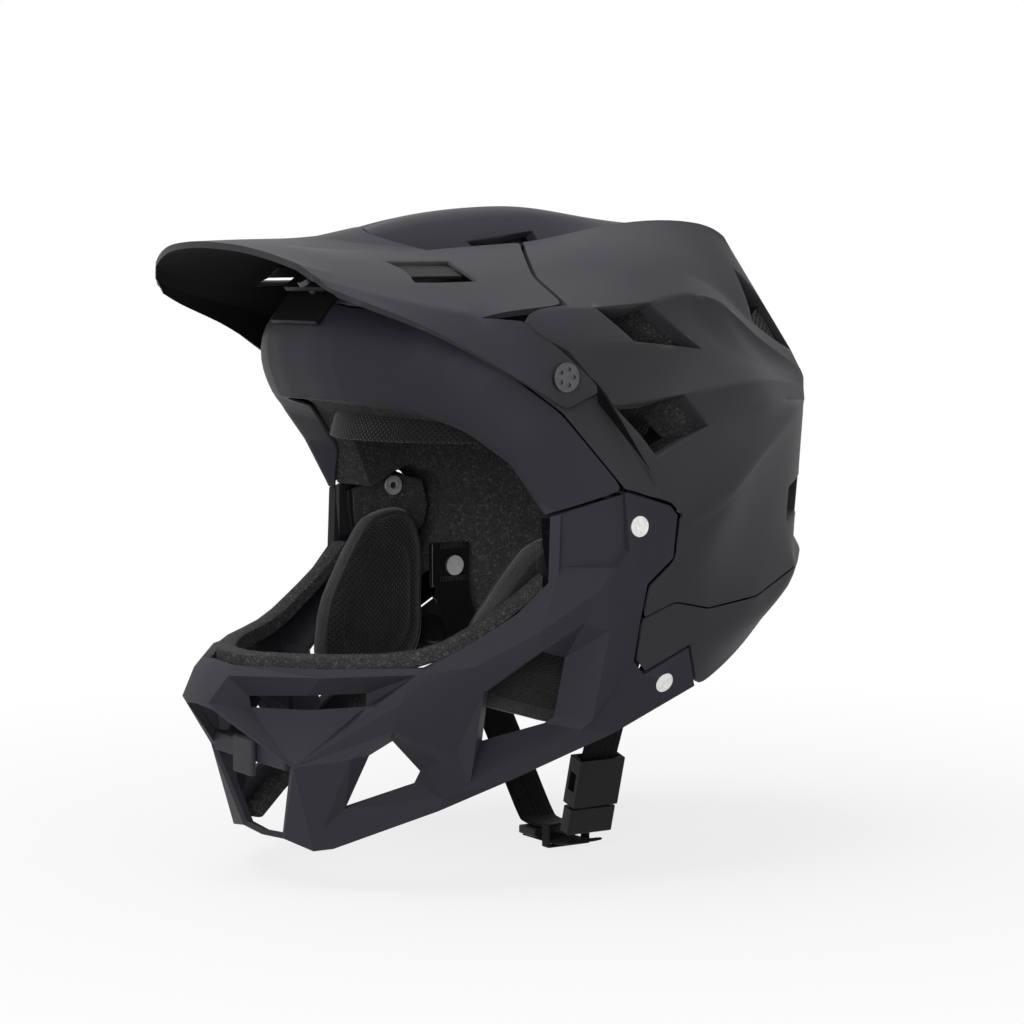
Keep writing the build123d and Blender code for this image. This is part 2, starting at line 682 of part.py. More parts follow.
def on_cavity(point, grow=0):
    """The point of the head cavity that a point of the skin looks at."""
    half = (cavity_half_breadth + grow, cavity_half_length + grow, cavity_crown + grow)
    rise = point[2] - cavity_centre
    if rise > 0:
        size = sqrt((point[0] / half[0]) ** 2 + (point[1] / half[1]) ** 2 + (rise / half[2]) ** 2)
        return (point[0] / size, point[1] / size, cavity_centre + rise / size)
    size = hypot(point[0] / half[0], point[1] / half[1])
    return (point[0] / size, point[1] / size, point[2])


def grid_loops(rows):
    """Two rows or more of points as one list, and the loops between them."""
    width = len(rows[0])
    loops = []
    for i in range(len(rows) - 1):
        for j in range(width - 1):
            corner = i * width + j
            loops.append([corner, corner + width, corner + width + 1, corner + 1])
    return [point for row in rows for point in row], loops


def swept(path, across, section):
    """A flat-faced bar: a section of points, width then height, carried over a path."""
    points, loops, count = [], [], len(section)
    for index, point in enumerate(path):
        before, after = path[max(index - 1, 0)], path[min(index + 1, len(path) - 1)]
        high = unit(cross(span(before, after), across))
        points += [add(add(point, across, wide), high, up) for wide, up in section]
    for start in range(0, (len(path) - 1) * count, count):
        for corner in range(count):
            after = (corner + 1) % count
            loops.append([start + corner, start + after, start + count + after, start + count + corner])
    loops.append(list(range(count - 1, -1, -1)))
    loops.append([corner + (len(path) - 1) * count for corner in range(count)])
    return flat_faced(points, loops)


def disc(centre, axis, diameter, start, end):
    """A round bar along an axis, between two distances from the centre."""
    seat = Plane(origin=add(centre, unit(axis), start), z_dir=axis)
    return extrude(seat * Circle(diameter / 2), amount=end - start)


def flat_disc(centre, axis, diameter, start, end):
    """The same bar with flat sides, for cuts in flat-faced shells."""
    seat = Plane(origin=add(centre, unit(axis), start), z_dir=axis)
    return extrude(seat * RegularPolygon(diameter / 2, round_sides), amount=end - start)


def block(centre, along, across, length, width, height):
    """A box whose length lies along one direction and its width across it."""
    return Plane(origin=centre, x_dir=unit(along), z_dir=cross(along, across)) * Box(length, width, height)


def profile_bar(profile, width):
    """A profile of y and z carried to both sides of the middle."""
    return extrude(Plane.YZ * Polygon(*profile, align=None), amount=width / 2, both=True)


def solids_of(shape):
    return list(shape.solids()) if hasattr(shape, "solids") else [shape]


def save(name, *shapes):
    pieces = [solid for shape in shapes for solid in solids_of(shape)]
    export_step(pieces[0] if len(pieces) == 1 else Compound(pieces), f"parts/{name}.step")


def pair(shape):
    return [shape, shape.mirror(Plane.YZ)]


# The helmet's skin: outer shell, eyeport frame and lower shell

vent_cells = {
    ("upper_vent_top", 6): "vent_upper", ("tongue", 6): "vent_upper", ("lower_vent_top", 6): "vent_side",
    ("plateau", 10): "vent_rear", ("tab_step", 10): "vent_back",
    ("plateau", 3): "vent_brow", ("hump", 6): "vent_valley",
}
lower_rows = ("lower_seam", "hook")


def skin_tag(row, column):
    name = row_names[row]
    if (name, column) in vent_cells:
        return vent_cells[name, column]
    if name in lower_rows:
        return "lower"
    return "frame" if column < 2 and row < row_names.index("lower_vent_low") else "shell"


def rear_rows(skin):
    """The strip across the back: the ends of the skin rows, bulged out to the centre line."""
    edge = [skin[0][-1], skin[1][-1], skin[2][-1]]
    side = [skin[3][-1]] + [row[-1] for row in skin[4:]]
    rows = []
    for share, top in ((0, edge[0]), (rear_shoulder_share, edge[1])):
        bulge = rear_bulge_share * form_half_length * (1 - share * share)
        row = [top] + [(p[0] * share, p[1] + bulge, p[2]) for p in side[1:]]
        rows.append(row)
    third = [edge[2]] + [(p[0] * (1 + rear_shoulder_share) / 2, p[1] + bulge / 2, p[2]) for p in side[1:]]
    return [rows[0], rows[1], third, side]


def skin_faces(finer):
    skin = [[point and place(point) for point in row] for row in skin_shares.values()]
    rear = rear_rows(skin)
    if finer > 1:
        known = {}
        creases = {row_names.index(name) for name in crease_rows}
        tab_top, hook = row_names.index("tab_top"), row_names.index("hook")
        seam_corners = {6: set(range(tab_top, hook + 1)), 8: {hook}}
        row_corners = {tab_top: set(range(2, 7)), hook: {6, 7, 8}}
        skin = refined(skin, creases, set(crease_columns), known, row_corners, seam_corners)
        rear_creases = {max(index - 3, 0) for index in creases}
        rear = refined(rear, {3}, rear_creases, known)
    lower_start = row_names.index("lower_seam") - 3

    def rear_tag(_, column):
        return "lower" if column >= lower_start else "shell"

    faces = patch_faces(skin, skin_tag, finer) + patch_faces(rear, rear_tag, finer)
    return both_sides(sunk_vents(faces, vent_bevel_depth, vent_bevel_share))


def tagged_mesh(faces):
    """One mesh of all the faces, its loops listed by tag."""
    points, _ = mesh_of([corners for _, corners in faces])
    number = {key(point): index for index, point in enumerate(points)}
    by_tag = {}
    for tag, corners in faces:
        loop = list(dict.fromkeys(number[key(point)] for point in corners))
        if len(loop) > 2:
            by_tag.setdefault(tag, []).append(loop)
    return points, by_tag


skin_points, skin_loops = tagged_mesh(skin_faces(2))
skin_inside = moved(skin_points, [loop for loops in skin_loops.values() for loop in loops], -shell_wall)
half_gap = seam_gap / 2


def skin_piece(tag):
    """One part of the skin, its seams parallel to those of its neighbours."""
    loops = skin_loops[tag]
    return between(drawn_in(skin_points, loops, half_gap), drawn_in(skin_inside, loops, half_gap), loops)


# Visor pivot: a boss through the shell, a screw that the visor's arm turns on
side_axis = (1, 0, 0)
pivot = place(pivot_share)
boss_place = add(pivot, side_axis, -pivot_boss_start)
boss_cut = flat_disc(boss_place, side_axis, pivot_boss_diameter + 2 * pivot_boss_gap,
                     -pivot_boss_length - 2 * cut_overrun, pivot_boss_length)
boss_cuts = pair(boss_cut)
screw_seat = pivot_face_gap - pivot_recess_depth
screw_start = screw_seat - pivot_screw_length
pivot_boss = disc(boss_place, side_axis, pivot_boss_diameter, -pivot_boss_length / 2, pivot_boss_length / 2 - pivot_boss_gap)
pivot_boss -= disc(pivot, side_axis, pivot_screw_diameter + 2 * pivot_running_gap, screw_start - cut_overrun, 0)
pivot_screw = disc(pivot, side_axis, pivot_screw_diameter, screw_start, screw_seat)
pivot_screw += disc(pivot, side_axis, pivot_screw_head_diameter, screw_seat, screw_seat + pivot_screw_head_height)
socket_place = add(pivot, side_axis, screw_seat + pivot_screw_head_height)
for turn in range(pivot_socket_count):
    angle = 2 * pi * turn / pivot_socket_count
    around = (0, cos(angle), sin(angle))
    centre = add(socket_place, around, pivot_socket_circle / 2)
    pivot_screw -= disc(centre, side_axis, pivot_socket_diameter, -pivot_socket_depth, pivot_socket_depth)
save("visor_pivot_bosses", *pair(pivot_boss))
save("visor_pivot_screws", *pair(pivot_screw))

outer_shell = skin_piece("shell") - boss_cuts
save("outer_shell", outer_shell)
save("eyeport_frame", skin_piece("frame"))
save("lower_shell", skin_piece("lower"))

# Foam liner, from the shells in to the head cavity, from the rows themselves as it is out of sight.
# It stops behind the release buttons, so the lower shell's front tongue has none under it.

def in_tongue(tag, corners):
    return tag == "lower" and min(y for _, y, _ in corners) < 0


liner_faces = [(tag, corners) for tag, corners in skin_faces(1) if not in_tongue(tag, corners)]
liner_points, liner_tags = tagged_mesh(liner_faces)
liner_loops = [loop for loops in liner_tags.values() for loop in loops]
liner_points = drawn_in(liner_points, liner_loops, half_gap)
liner_outer = moved(liner_points, liner_loops, -(shell_wall + liner_clearance))
liner_inner = [on_cavity(point) for point in liner_points]
foam_liner = between(liner_outer, liner_inner, liner_loops) - boss_cuts
save("foam_liner", foam_liner)


# Grilles in the rear vents, a floor and a slot in the visor's holes

def vent_plate(outline, top, share, through=1):
    """A plate across a vent's outline, at a depth, as far as a share of the way from its first edge."""
    normal = unit(cross(span(outline[0], outline[len(outline) // 2]),
                        span(outline[len(outline) // 4], outline[3 * len(outline) // 4])))
    middle = mean(outline)
    rim = [add(p, span(p, middle), share) for p in outline]
    if through < 1:
        first, last, back, ahead = rim
        rim = [first, last, add(last, span(last, back), through), add(first, span(first, ahead), through)]
    points = [add(p, normal, -top) for p in rim] + [add(p, normal, -top - vent_plate_thickness) for p in rim]
    count = len(rim)
    loops = [[0, index, index + 1] for index in range(1, count - 1)]
    loops += [[count, count + index + 1, count + index] for index in range(1, count - 1)]
    loops += [[(index + 1) % count, index, index + count, (index + 1) % count + count] for index in range(count)]
    return flat_faced(points, loops)


def vent_outline(table, name, column):
    """The four corners of a cell of a table, anticlockwise from outside, from its upper edge."""
    names = list(table)
    after = names[names.index(name) + 1]
    corners = [table[name][column + 1], table[name][column], table[after][column], table[after][column + 1]]
    return [place(corner) for corner in corners]


rear_vent = vent_outline(skin_shares, "plateau", 10)
rear_grille = vent_plate(rear_vent, vent_bevel_depth * vent_plate_top_share, vent_plate_share)
save("rear_vent_grilles", *pair(rear_grille))


# Visor

def visor_faces():
    """The visor's upper side: the middle ends early, the plateaus run on, an arm a side reaches down."""
    rows = [[place(point) for point in row] for row in visor_shares.values()]
    names = list(visor_shares)
    known = {}

    def tag_from(first):
        def tag(row, column):
            return "vent_visor" if (names[row + first], column) == visor_vent_cell else "visor"
        return tag

    middle = rows[:3]
    middle[2] = middle[2][:4] + [middle[2][3]]
    sides = rows[2:6]
    sides[3] = sides[3][:4] + [place(groove_back_share)]
    lower = [row[:4] for row in rows[5:]]
    arm = [[place(point) for point in row] for row in zip(*visor_arm_shares)]
    faces = patch_faces(refined(middle, {2}, {3}, known), tag_from(0))
    faces += patch_faces(refined(sides, {0, 2, 3}, {3}, known), tag_from(2))
    faces += patch_faces(refined(lower, {0}, {3}, known), tag_from(5))
    faces += patch_faces(refined(arm, {0, 1}, {0, 1}, known), lambda row, column: "visor")
    return both_sides(sunk_vents(faces, visor_wall, vent_bevel_share))


visor_mesh = mesh_of([corners for _, corners in visor_faces()])
visor = thick(*visor_mesh, 0, visor_wall, visor_edge_gap)
arm_cut = disc(pivot, side_axis, pivot_recess_diameter, -pivot_recess_depth, 2 * cut_overrun)
arm_cut += disc(pivot, side_axis, pivot_screw_diameter + 2 * pivot_running_gap, -3 * cut_overrun, cut_overrun)
save("visor", visor - pair(arm_cut))
visor_vent = vent_outline(visor_shares, *visor_vent_cell)
vent_insert = vent_plate(visor_vent, visor_underside_reach, vent_plate_share, visor_vent_floor_share)
save("visor_vent_inserts", *pair(vent_insert))

# Bracket under the visor's middle, on a receiver on the brow, held by a screw through a slot
brow_foot, brow_bend, brow_top = [(y * form_half_length, z * form_height) for y, z in brow_shares]
foot_way, brow_way = unit(span(brow_foot, brow_bend)), unit(span(brow_bend, brow_top))
foot_out, brow_out = (-foot_way[1], foot_way[0]), (-brow_way[1], brow_way[0])
bend_out = unit(add(foot_out, brow_out))
brow_length = hypot(*span(brow_bend, brow_top))


def on_brow(along, out):
    return add(add(brow_bend, brow_way, along), brow_out, out)


receiver_foot = add(brow_foot, span(brow_foot, brow_bend), receiver_start_share)
receiver_top = receiver_gap + receiver_thickness
receiver_end = brow_length * receiver_end_share
receiver_profile = [add(receiver_foot, foot_out, receiver_gap), add(brow_bend, bend_out, receiver_gap),
                    on_brow(receiver_end, receiver_gap), on_brow(receiver_end, receiver_top),
                    add(brow_bend, bend_out, receiver_top), add(receiver_foot, foot_out, receiver_top)]
bracket_foot = receiver_top + bracket_clearance
bracket_face = bracket_foot + bracket_thickness
bracket_end = brow_length * bracket_end_share
plate_profile = [on_brow(0, bracket_foot), on_brow(bracket_end, bracket_foot),
                 on_brow(bracket_end, bracket_face), on_brow(0, bracket_face)]
web_front, web_back = [on_brow(bracket_end * share, bracket_foot + bracket_thickness / 2)
                       for share in bracket_web_foot_shares]
web_profile = [web_front, *[(y * form_half_length, z * form_height) for y, z in bracket_web_shares], web_back]
brow_axis = (0, *brow_out)
screw_foot = (0, *on_brow(bracket_screw_place, 0))
slot_middle = (0, *on_brow(bracket_slot_place, bracket_foot))
slot_width = bracket_screw_diameter + 2 * bracket_clearance_side
bracket_slot = block(slot_middle, (0, *brow_way), side_axis, bracket_slot_length, slot_width, 3 * bracket_thickness)
receiver_hole = disc(screw_foot, brow_axis, slot_width, 0, bracket_foot)
screw_head_foot = bracket_face + pivot_face_gap
bracket_screw = disc(screw_foot, brow_axis, bracket_screw_diameter, receiver_gap, screw_head_foot)
bracket_screw += disc(screw_foot, brow_axis, bracket_screw_head_diameter, screw_head_foot,
                      screw_head_foot + bracket_screw_head_height)
save("brow_receiver", profile_bar(receiver_profile, receiver_width) - receiver_hole)
save("visor_bracket", profile_bar(plate_profile, bracket_width) - bracket_slot
     + profile_bar(web_profile, bracket_web_width))
save("visor_bracket_screw", bracket_screw)


# Chin bar

def chin_mesh():
    half = [[place(chin_shares[name]) for name in line.split()] for line in chin_faces.strip().splitlines()]
    points, loops = mesh_of(half)
    loops = agreeing(loops)
    polygons = [[points[corner] for corner in loop] for loop in loops]
    if dot(normal_of(points, loops[0]), chin_first_face_outward_share) < 0:
        polygons = [list(reversed(polygon)) for polygon in polygons]
    return mesh_of(polygons + [[mirrored(p) for p in reversed(polygon)] for polygon in polygons])


stud = place(stud_share)
button = place(button_share)
button_axis = unit(button_axis_share)
slide_way = unit(slide_share)
stud_cuts = [flat_disc(stud, side_axis, stud_diameter + 2 * stud_hole_gap, -stud_recess_depth, 2 * cut_overrun),
             flat_disc(stud, side_axis, stud_stem_diameter + 2 * stud_hole_gap, -3 * cut_overrun, cut_overrun),
             flat_disc(stud, side_axis, stud_collar_diameter + 3 * stud_hole_gap, -stud_recess_depth - stud_stem_length,
                       -stud_recess_depth - stud_web)]
button_cut = flat_disc(button, button_axis, button_diameter + 4 * button_hole_gap, -3 * cut_overrun, 2 * cut_overrun)
chin_cuts = [side for cut in [*stud_cuts, button_cut] for side in pair(cut)]
save("chin_bar_shell", thick(*chin_mesh(), 0, chin_wall, chin_edge_gap) - chin_cuts)

# Seats under the chin bar's arms, open at the front for the studs, and the foam under them
seat_rows = [[place(point) for point in row] for row in seat_shares]
seat_points, seat_loops = mesh_of([corners for _, corners in patch_faces(seat_rows, lambda i, j: "seat", 1)])
seat_top = chin_wall + seat_clearance
seat = thick(seat_points, seat_loops, seat_top, seat_top + seat_wall, half_gap)
slot_start = stud_slot_length / 2 - stud_slot_width / 2
stud_slot = block(add(stud, slide_way, slot_start), slide_way, side_axis, stud_slot_length, 4 * seat_top, stud_slot_width)
seat -= stud_slot
save("chin_bar_seats", *pair(seat))


def cheek_face(y):
    return cheek_back - cheek_taper * (y / cheek_taper_reach) ** 2


foam_points = drawn_in(seat_points, seat_loops, half_gap)
foam_outer = moved(foam_points, seat_loops, -(seat_top + seat_wall + seat_foam_gap))
foam_inner = [(cheek_face(y) + cheek_space, y, z) for _, y, z in foam_points]
save("side_foam", *pair(between(foam_outer, foam_inner, seat_loops)))


# Liners inside the chin bar, along its rim and its lower edge

def inside_path(names, lifts, distance):
    """A path inside the named corners, as seen from above, mitred at its bends."""
    corners = [place(chin_shares[name]) for name in names.split()]
    corners = [(x, y, z + lift * form_height) for (x, y, z), lift in zip(corners, lifts)]
    path = []
    for index, corner in enumerate(corners):
        before = corners[index - 1] if index else mirrored(corners[1]) if not corner[0] else corner
        after = corners[min(index + 1, len(corners) - 1)]
        ways = [unit((q[0] - p[0], q[1] - p[1], 0)) for p, q in ((before, corner), (corner, after)) if p != q]
        inward = unit(mean([(-way[1], way[0], 0) for way in ways]))
        reach = dot(inward, (-ways[0][1], ways[0][0], 0))
        path.append(add(corner, inward, distance / reach))
    return path


def liner_section(thickness):
    return [(wide * chin_liner_height, high * thickness) for wide, high in liner_section_shares]


upward = (0, 0, 1)
back_way = (0, 1, 0)
rim_depth = chin_wall + chin_liner_gap + rim_liner_thickness / 2
rim_path = inside_path(rim_liner_names, rim_liner_lift_shares, rim_depth)
rim_path = [mirrored(point) for point in reversed(rim_path[1:])] + rim_path
save("chin_bar_rim_liner", swept(rim_path, upward, liner_section(rim_liner_thickness)))
edge_depth = chin_wall + chin_liner_gap + edge_liner_thickness / 2
edge_lifts = [edge_liner_lift_share] * len(edge_liner_names.split())
edge_path = inside_path(edge_liner_names, edge_lifts, edge_depth)
save("chin_bar_edge_liner", *pair(swept(edge_path, upward, liner_section(edge_liner_thickness))))

# Crossbar of the chin bar's front opening, with its clip
crossbar = block(place(crossbar_share), side_axis, upward, 2 * crossbar_half_length, crossbar_height, crossbar_depth)
save("chin_crossbar", crossbar)
clip_reach = crossbar_depth / 2 + clip_gap + clip_depth / 2
clip_place = add(add(place(crossbar_share), back_way, -clip_reach), upward, -clip_drop)
save("crossbar_clip", block(clip_place, side_axis, upward, clip_width, clip_height, clip_depth))

# Studs that locate the chin bar, release buttons in their housings
stud_face = stud_head_height - stud_recess_depth
locating_stud = disc(stud, side_axis, stud_diameter, -stud_recess_depth, stud_face)
locating_stud += disc(stud, side_axis, stud_stem_diameter, -stud_recess_depth - stud_stem_length, -stud_recess_depth)
collar_top = -stud_recess_depth - stud_web - stud_hole_gap
stud_collar = disc(stud, side_axis, stud_collar_diameter, collar_top - stud_collar_height, collar_top)
stud_collar -= disc(stud, side_axis, stud_stem_diameter + stud_hole_gap, collar_top - stud_collar_height, collar_top)
save("locating_studs", *pair(locating_stud))
save("stud_collars", *pair(stud_collar))
flange_top = -chin_wall - running_gap
release_button = disc(button, button_axis, button_diameter, flange_top, button_proud)
release_button += disc(button, button_axis, button_flange_diameter, flange_top - button_flange_height, flange_top)
housing_top = -chin_wall - housing_gap
housing = disc(button, button_axis, housing_diameter, housing_top - housing_length, housing_top)
housing -= disc(button, button_axis, housing_bore, housing_top - housing_length + housing_floor, housing_top)
save("release_button_left", release_button)
save("release_button_right", release_button.mirror(Plane.YZ))
save("button_housings", *pair(housing))


# Chin strap

def on_strap(share):
    return (share[0] * form_half_breadth, strap_plane_share * form_half_length, share[1] * form_height)


def webbing(shares):
    wide, high = webbing_width / 2, webbing_thickness / 2
    section = [(-wide, 0), (-wide + high, -high), (wide - high, -high), (wide, 0), (wide - high, high), (-wide + high, high)]
    return swept([on_strap(share) for share in shares], back_way, section)


def between_shares(shares, length, width, height, shift=0):
    """A box along the line between two places of the strap."""
    first, last = on_strap(shares[0]), on_strap(shares[1])
    way = unit(span(first, last))
    return block(add(mean([first, last]), way, shift), way, back_way, length, width, height)


anchor = (anchor_face, strap_plane_share * form_half_length, anchor_share * form_height)
anchor_plate = block(add(anchor, side_axis, -anchor_plate_thickness / 2), back_way, upward, anchor_plate_size,
                     anchor_plate_size, anchor_plate_thickness)
rivet_hole = rivet_diameter + 2 * rivet_running_gap
anchor_plate -= disc(anchor, side_axis, rivet_hole, -2 * anchor_plate_thickness, anchor_plate_thickness)
head_foot = -(anchor_plate_thickness + 2 * webbing_gap + webbing_thickness)
rivet = disc(anchor, side_axis, rivet_diameter, head_foot, 0)
rivet += disc(anchor, side_axis, rivet_head_diameter, head_foot - rivet_head_height, head_foot)
save("strap_anchor_plates", *pair(anchor_plate))
save("strap_anchor_rivets", *pair(rivet))
left_cut = disc(anchor, side_axis, rivet_hole, 4 * head_foot, 0)
save("strap_webbing_left", webbing(strap_left_shares) - left_cut)
save("strap_webbing_right", webbing(strap_right_shares) - left_cut.mirror(Plane.YZ))
save("strap_webbing_end", webbing(strap_end_shares))

inner_width, inner_thickness = buckle_width - 2 * buckle_wall, buckle_thickness - 2 * buckle_wall
socket = between_shares(socket_shares, socket_length, buckle_width, buckle_thickness)
socket -= between_shares(socket_shares, socket_length + cut_overrun, inner_width, inner_thickness)
socket -= between_shares(socket_shares, buckle_window_length, buckle_width + cut_overrun, buckle_window_width)
plug = between_shares(plug_shares, plug_length, buckle_width, buckle_thickness - buckle_wall)
plug -= between_shares(plug_shares, plug_length / 2, webbing_width + buckle_gap, 2 * webbing_thickness, plug_length / 3)
prong_shift = -(plug_length + prong_length) / 2
prong_place = inner_width / 2 - buckle_gap - prong_width / 2
for side in (-1, 1):
    prong = between_shares(plug_shares, prong_length, prong_width, prong_thickness, prong_shift)
    plug += prong.translate((0, side * prong_place, 0))
save("buckle_socket", socket)
save("buckle_plug", plug)
slider = block(on_strap(slider_share), side_axis, back_way, slider_length, slider_width, slider_thickness)
window = (slider_length - 3 * slider_bar) / 2
for side in (-1, 1):
    centre = add(on_strap(slider_share), side_axis, side * (slider_bar + window) / 2)
    slider -= block(centre, side_axis, back_way, window, webbing_width + buckle_gap, 2 * slider_thickness)
save("strap_slider", slider)
keeper = between_shares(keeper_shares, keeper_length, keeper_width, keeper_thickness)
keeper -= between_shares(keeper_shares, 2 * keeper_length, webbing_width + buckle_gap, keeper_thickness - buckle_wall)
save("strap_keeper", keeper)
washer = place(temple_washer_share)
temple_washer = disc(washer, side_axis, washer_diameter, 0, washer_thickness)
temple_washer -= disc(washer, side_axis, washer_hole, 0, washer_thickness)
save("temple_washers", *pair(temple_washer))


# Comfort pads

def cavity_point(azimuth, elevation, depth):
    """A point of the cavity's wall, or under it by a depth, by its angles from the front and upwards."""
    turn, rise = radians(azimuth), radians(elevation)
    flat = cos(rise) if elevation > 0 else 1
    return ((cavity_half_breadth - depth) * flat * sin(turn), -(cavity_half_length - depth) * flat * cos(turn),
            cavity_centre + (cavity_crown - depth) * sin(rise))


def over_crown(middle, side, angle, depth):
    """A point over the crown, a way to one side, by its angle up from the front."""
    x = middle + side
    flat = sqrt(1 - (x / cavity_half_breadth) ** 2)
    turn = radians(angle)
    return (x * (1 - depth / cavity_half_breadth), -(cavity_half_length - depth) * flat * cos(turn),
            cavity_centre + (cavity_crown - depth) * flat * sin(turn))


def crowned(u, v):
    """How much of a pad's thickness stands at a share of its two sides."""
    rise = (1 - abs(2 * u - 1) ** pad_crown_power) * (1 - abs(2 * v - 1) ** pad_crown_power)
    return pad_edge_share + (1 - pad_edge_share) * rise


def pad(point_of, clearance):
    """A crowned pad: point_of gives the place for two shares and a depth."""
    outer, inner = [], []
    for i in range(pad_rows + 1):
        shares = [(i / pad_rows, j / pad_columns) for j in range(pad_columns + 1)]
        outer.append([point_of(u, v, clearance) for u, v in shares])
        inner.append([point_of(u, v, clearance + pad_thickness * crowned(u, v)) for u, v in shares])
    points, loops = grid_loops(outer)
    return between(points, grid_loops(inner)[0], loops)


def wall_pad(angles, clearance=wall_pad_clearance):
    first, last, low, high = angles
    return pad(lambda u, v, depth: cavity_point(first + (last - first) * v, low + (high - low) * u, depth), clearance)


def crown_pad(middle):
    low, high = crown_pad_reach
    return pad(lambda u, v, depth: over_crown(middle, (2 * u - 1) * crown_pad_half_width,
                                              low + (high - low) * v, depth), crown_pad_clearance)


save("brow_pad", wall_pad(brow_pad_angles))
save("side_pads", *[side for angles in side_pad_angles for side in pair(wall_pad(angles))])
save("nape_pad", wall_pad(nape_pad_angles, nape_pad_clearance))
save("crown_pads", *[crown_pad(middle) for middle in crown_pad_middles])


def cushion(outline, levels):
    """A pad of rings from its outline to its middle, each level a share of the way out and of the thickness."""
    middle = mean(outline)
    backs, fronts, count = [], [], len(outline)
    for reach, height in levels:
        for corner in outline:
            y, z = add(middle, span(middle, corner), reach)
            backs.append((cheek_face(y), y, z))
            fronts.append((cheek_face(y) - cheek_pad_thickness * height, y, z))
    loops = []
    for start in range(0, (len(levels) - 1) * count, count):
        for corner in range(count):
            after = (corner + 1) % count
            loops.append([start + corner, start + after, start + count + after, start + count + corner])
    backs.append((cheek_face(middle[0]), *middle))
    fronts.append((cheek_face(middle[0]) - cheek_pad_thickness, *middle))
    last = (len(levels) - 1) * count
    loops += [[last + corner, last + (corner + 1) % count, last + count] for corner in range(count)]
    return between(backs, fronts, loops)


cheek_outline = [(y * form_half_length, z * form_height) for y, z in cheek_outline_shares]
cheek_pad = cushion(cheek_outline, cheek_level_shares)
save("cheek_pad_left", cheek_pad)
save("cheek_pad_right", cheek_pad.mirror(Plane.YZ))
snaps = []
for y, z in [(y * form_half_length, z * form_height) for y, z in snap_shares]:
    snaps += pair(disc((cheek_face(y) + cheek_space, y, z), side_axis, snap_diameter, -snap_length, -snap_gap))
save("pad_snaps", *snaps)
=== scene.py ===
"""A downhill full-face helmet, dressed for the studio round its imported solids."""

from __future__ import annotations

import logging
import math
from dataclasses import dataclass, field
from enum import Enum
from typing import Any, Callable, ClassVar, Iterable, Sequence

import bmesh
import bpy
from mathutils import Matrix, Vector


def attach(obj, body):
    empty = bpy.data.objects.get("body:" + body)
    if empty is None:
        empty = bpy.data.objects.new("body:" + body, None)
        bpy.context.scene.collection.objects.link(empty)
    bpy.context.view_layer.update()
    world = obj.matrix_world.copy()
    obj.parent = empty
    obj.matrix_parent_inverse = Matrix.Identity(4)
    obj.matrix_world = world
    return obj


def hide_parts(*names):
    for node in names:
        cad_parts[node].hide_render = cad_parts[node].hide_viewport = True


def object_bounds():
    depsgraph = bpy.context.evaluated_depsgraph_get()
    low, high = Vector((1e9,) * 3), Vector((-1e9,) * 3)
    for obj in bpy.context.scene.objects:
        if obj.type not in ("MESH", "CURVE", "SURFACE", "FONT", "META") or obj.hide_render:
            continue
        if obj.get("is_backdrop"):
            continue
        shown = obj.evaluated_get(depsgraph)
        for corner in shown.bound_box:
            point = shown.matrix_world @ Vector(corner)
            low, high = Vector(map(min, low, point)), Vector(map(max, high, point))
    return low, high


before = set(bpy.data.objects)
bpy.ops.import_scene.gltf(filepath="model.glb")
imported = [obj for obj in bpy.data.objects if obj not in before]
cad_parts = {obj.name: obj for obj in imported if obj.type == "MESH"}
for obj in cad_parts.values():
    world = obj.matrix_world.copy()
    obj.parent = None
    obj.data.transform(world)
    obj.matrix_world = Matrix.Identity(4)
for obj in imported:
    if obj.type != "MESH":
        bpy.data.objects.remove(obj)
log = logging.getLogger("helmet")
MM = 0.001
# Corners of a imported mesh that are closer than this, in metres, are one.
WELD = 2e-6
Point = tuple[float, float, float]
Route = tuple[tuple[float, float], ...]
Colour = tuple[float, float, float, float]


class Body(Enum):
    """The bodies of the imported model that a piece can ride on."""

    HELMET = "helmet"
    VISOR = "visor"
    CHIN_BAR = "chin_bar"
    BUTTON_LEFT = "button_left"
    BUTTON_RIGHT = "button_right"
    STRAP = "strap"


# Vector and curve helpers


def ink(red: int, green: int, blue: int) -> Colour:
    """A colour as Blender's sockets take it.

    Args:
        red, green, blue: The colour's display values, 0 to 255.

    Returns:
        The same colour in linear light, with full alpha.
    """
    levels = [value / 255 for value in (red, green, blue)]
    linear = [v / 12.92 if v <= 0.04045 else ((v + 0.055) / 1.055) ** 2.4 for v in levels]
    return (linear[0], linear[1], linear[2], 1.0)


def metres(point: Iterable[float]) -> Vector:
    """A place in millimetres as a vector in metres."""
    return Vector(tuple(point)) * MM


def smooth_step(value: float) -> float:
    """0 to 1 with flat ends, for a value from 0 to 1."""
    value = min(max(value, 0.0), 1.0)
    return value * value * (3 - 2 * value)


def through(points: Sequence[Sequence[float]], steps: int, closed: bool = False) -> list[Vector]:
    """A smooth line through every one of the points.

    Args:
        points: The places that the line passes.
        steps: How many pieces each stretch between two places is cut into.
        closed: Whether the line comes back to its start.

    Returns:
        The line's places, without a second copy of the start.
    """
    places = [Vector(tuple(point)) for point in points]
    count = len(places)
    line = []
    for index in range(count if closed else count - 1):
        if closed:
            a, b, c, d = (places[(index + shift) % count] for shift in (-1, 0, 1, 2))
        else:
            a, b, c, d = (places[min(max(index + shift, 0), count - 1)]
                          for shift in (-1, 0, 1, 2))
        for step in range(steps):
            t = step / steps
            line.append(0.5 * (2 * b + (c - a) * t + (2 * a - 5 * b + 4 * c - d) * t**2
                               + (3 * b - 3 * c + d - a) * t**3))
    if not closed:
        line.append(places[-1])
    return line


# Objects and modifiers

CLOTH_MAP = "cloth"


def new_piece(name: str, mesh: bpy.types.Mesh) -> bpy.types.Object:
    """Puts a mesh in the scene as an object at the origin."""
    piece = bpy.data.objects.new(name, mesh)
    bpy.context.scene.collection.objects.link(piece)
    return piece


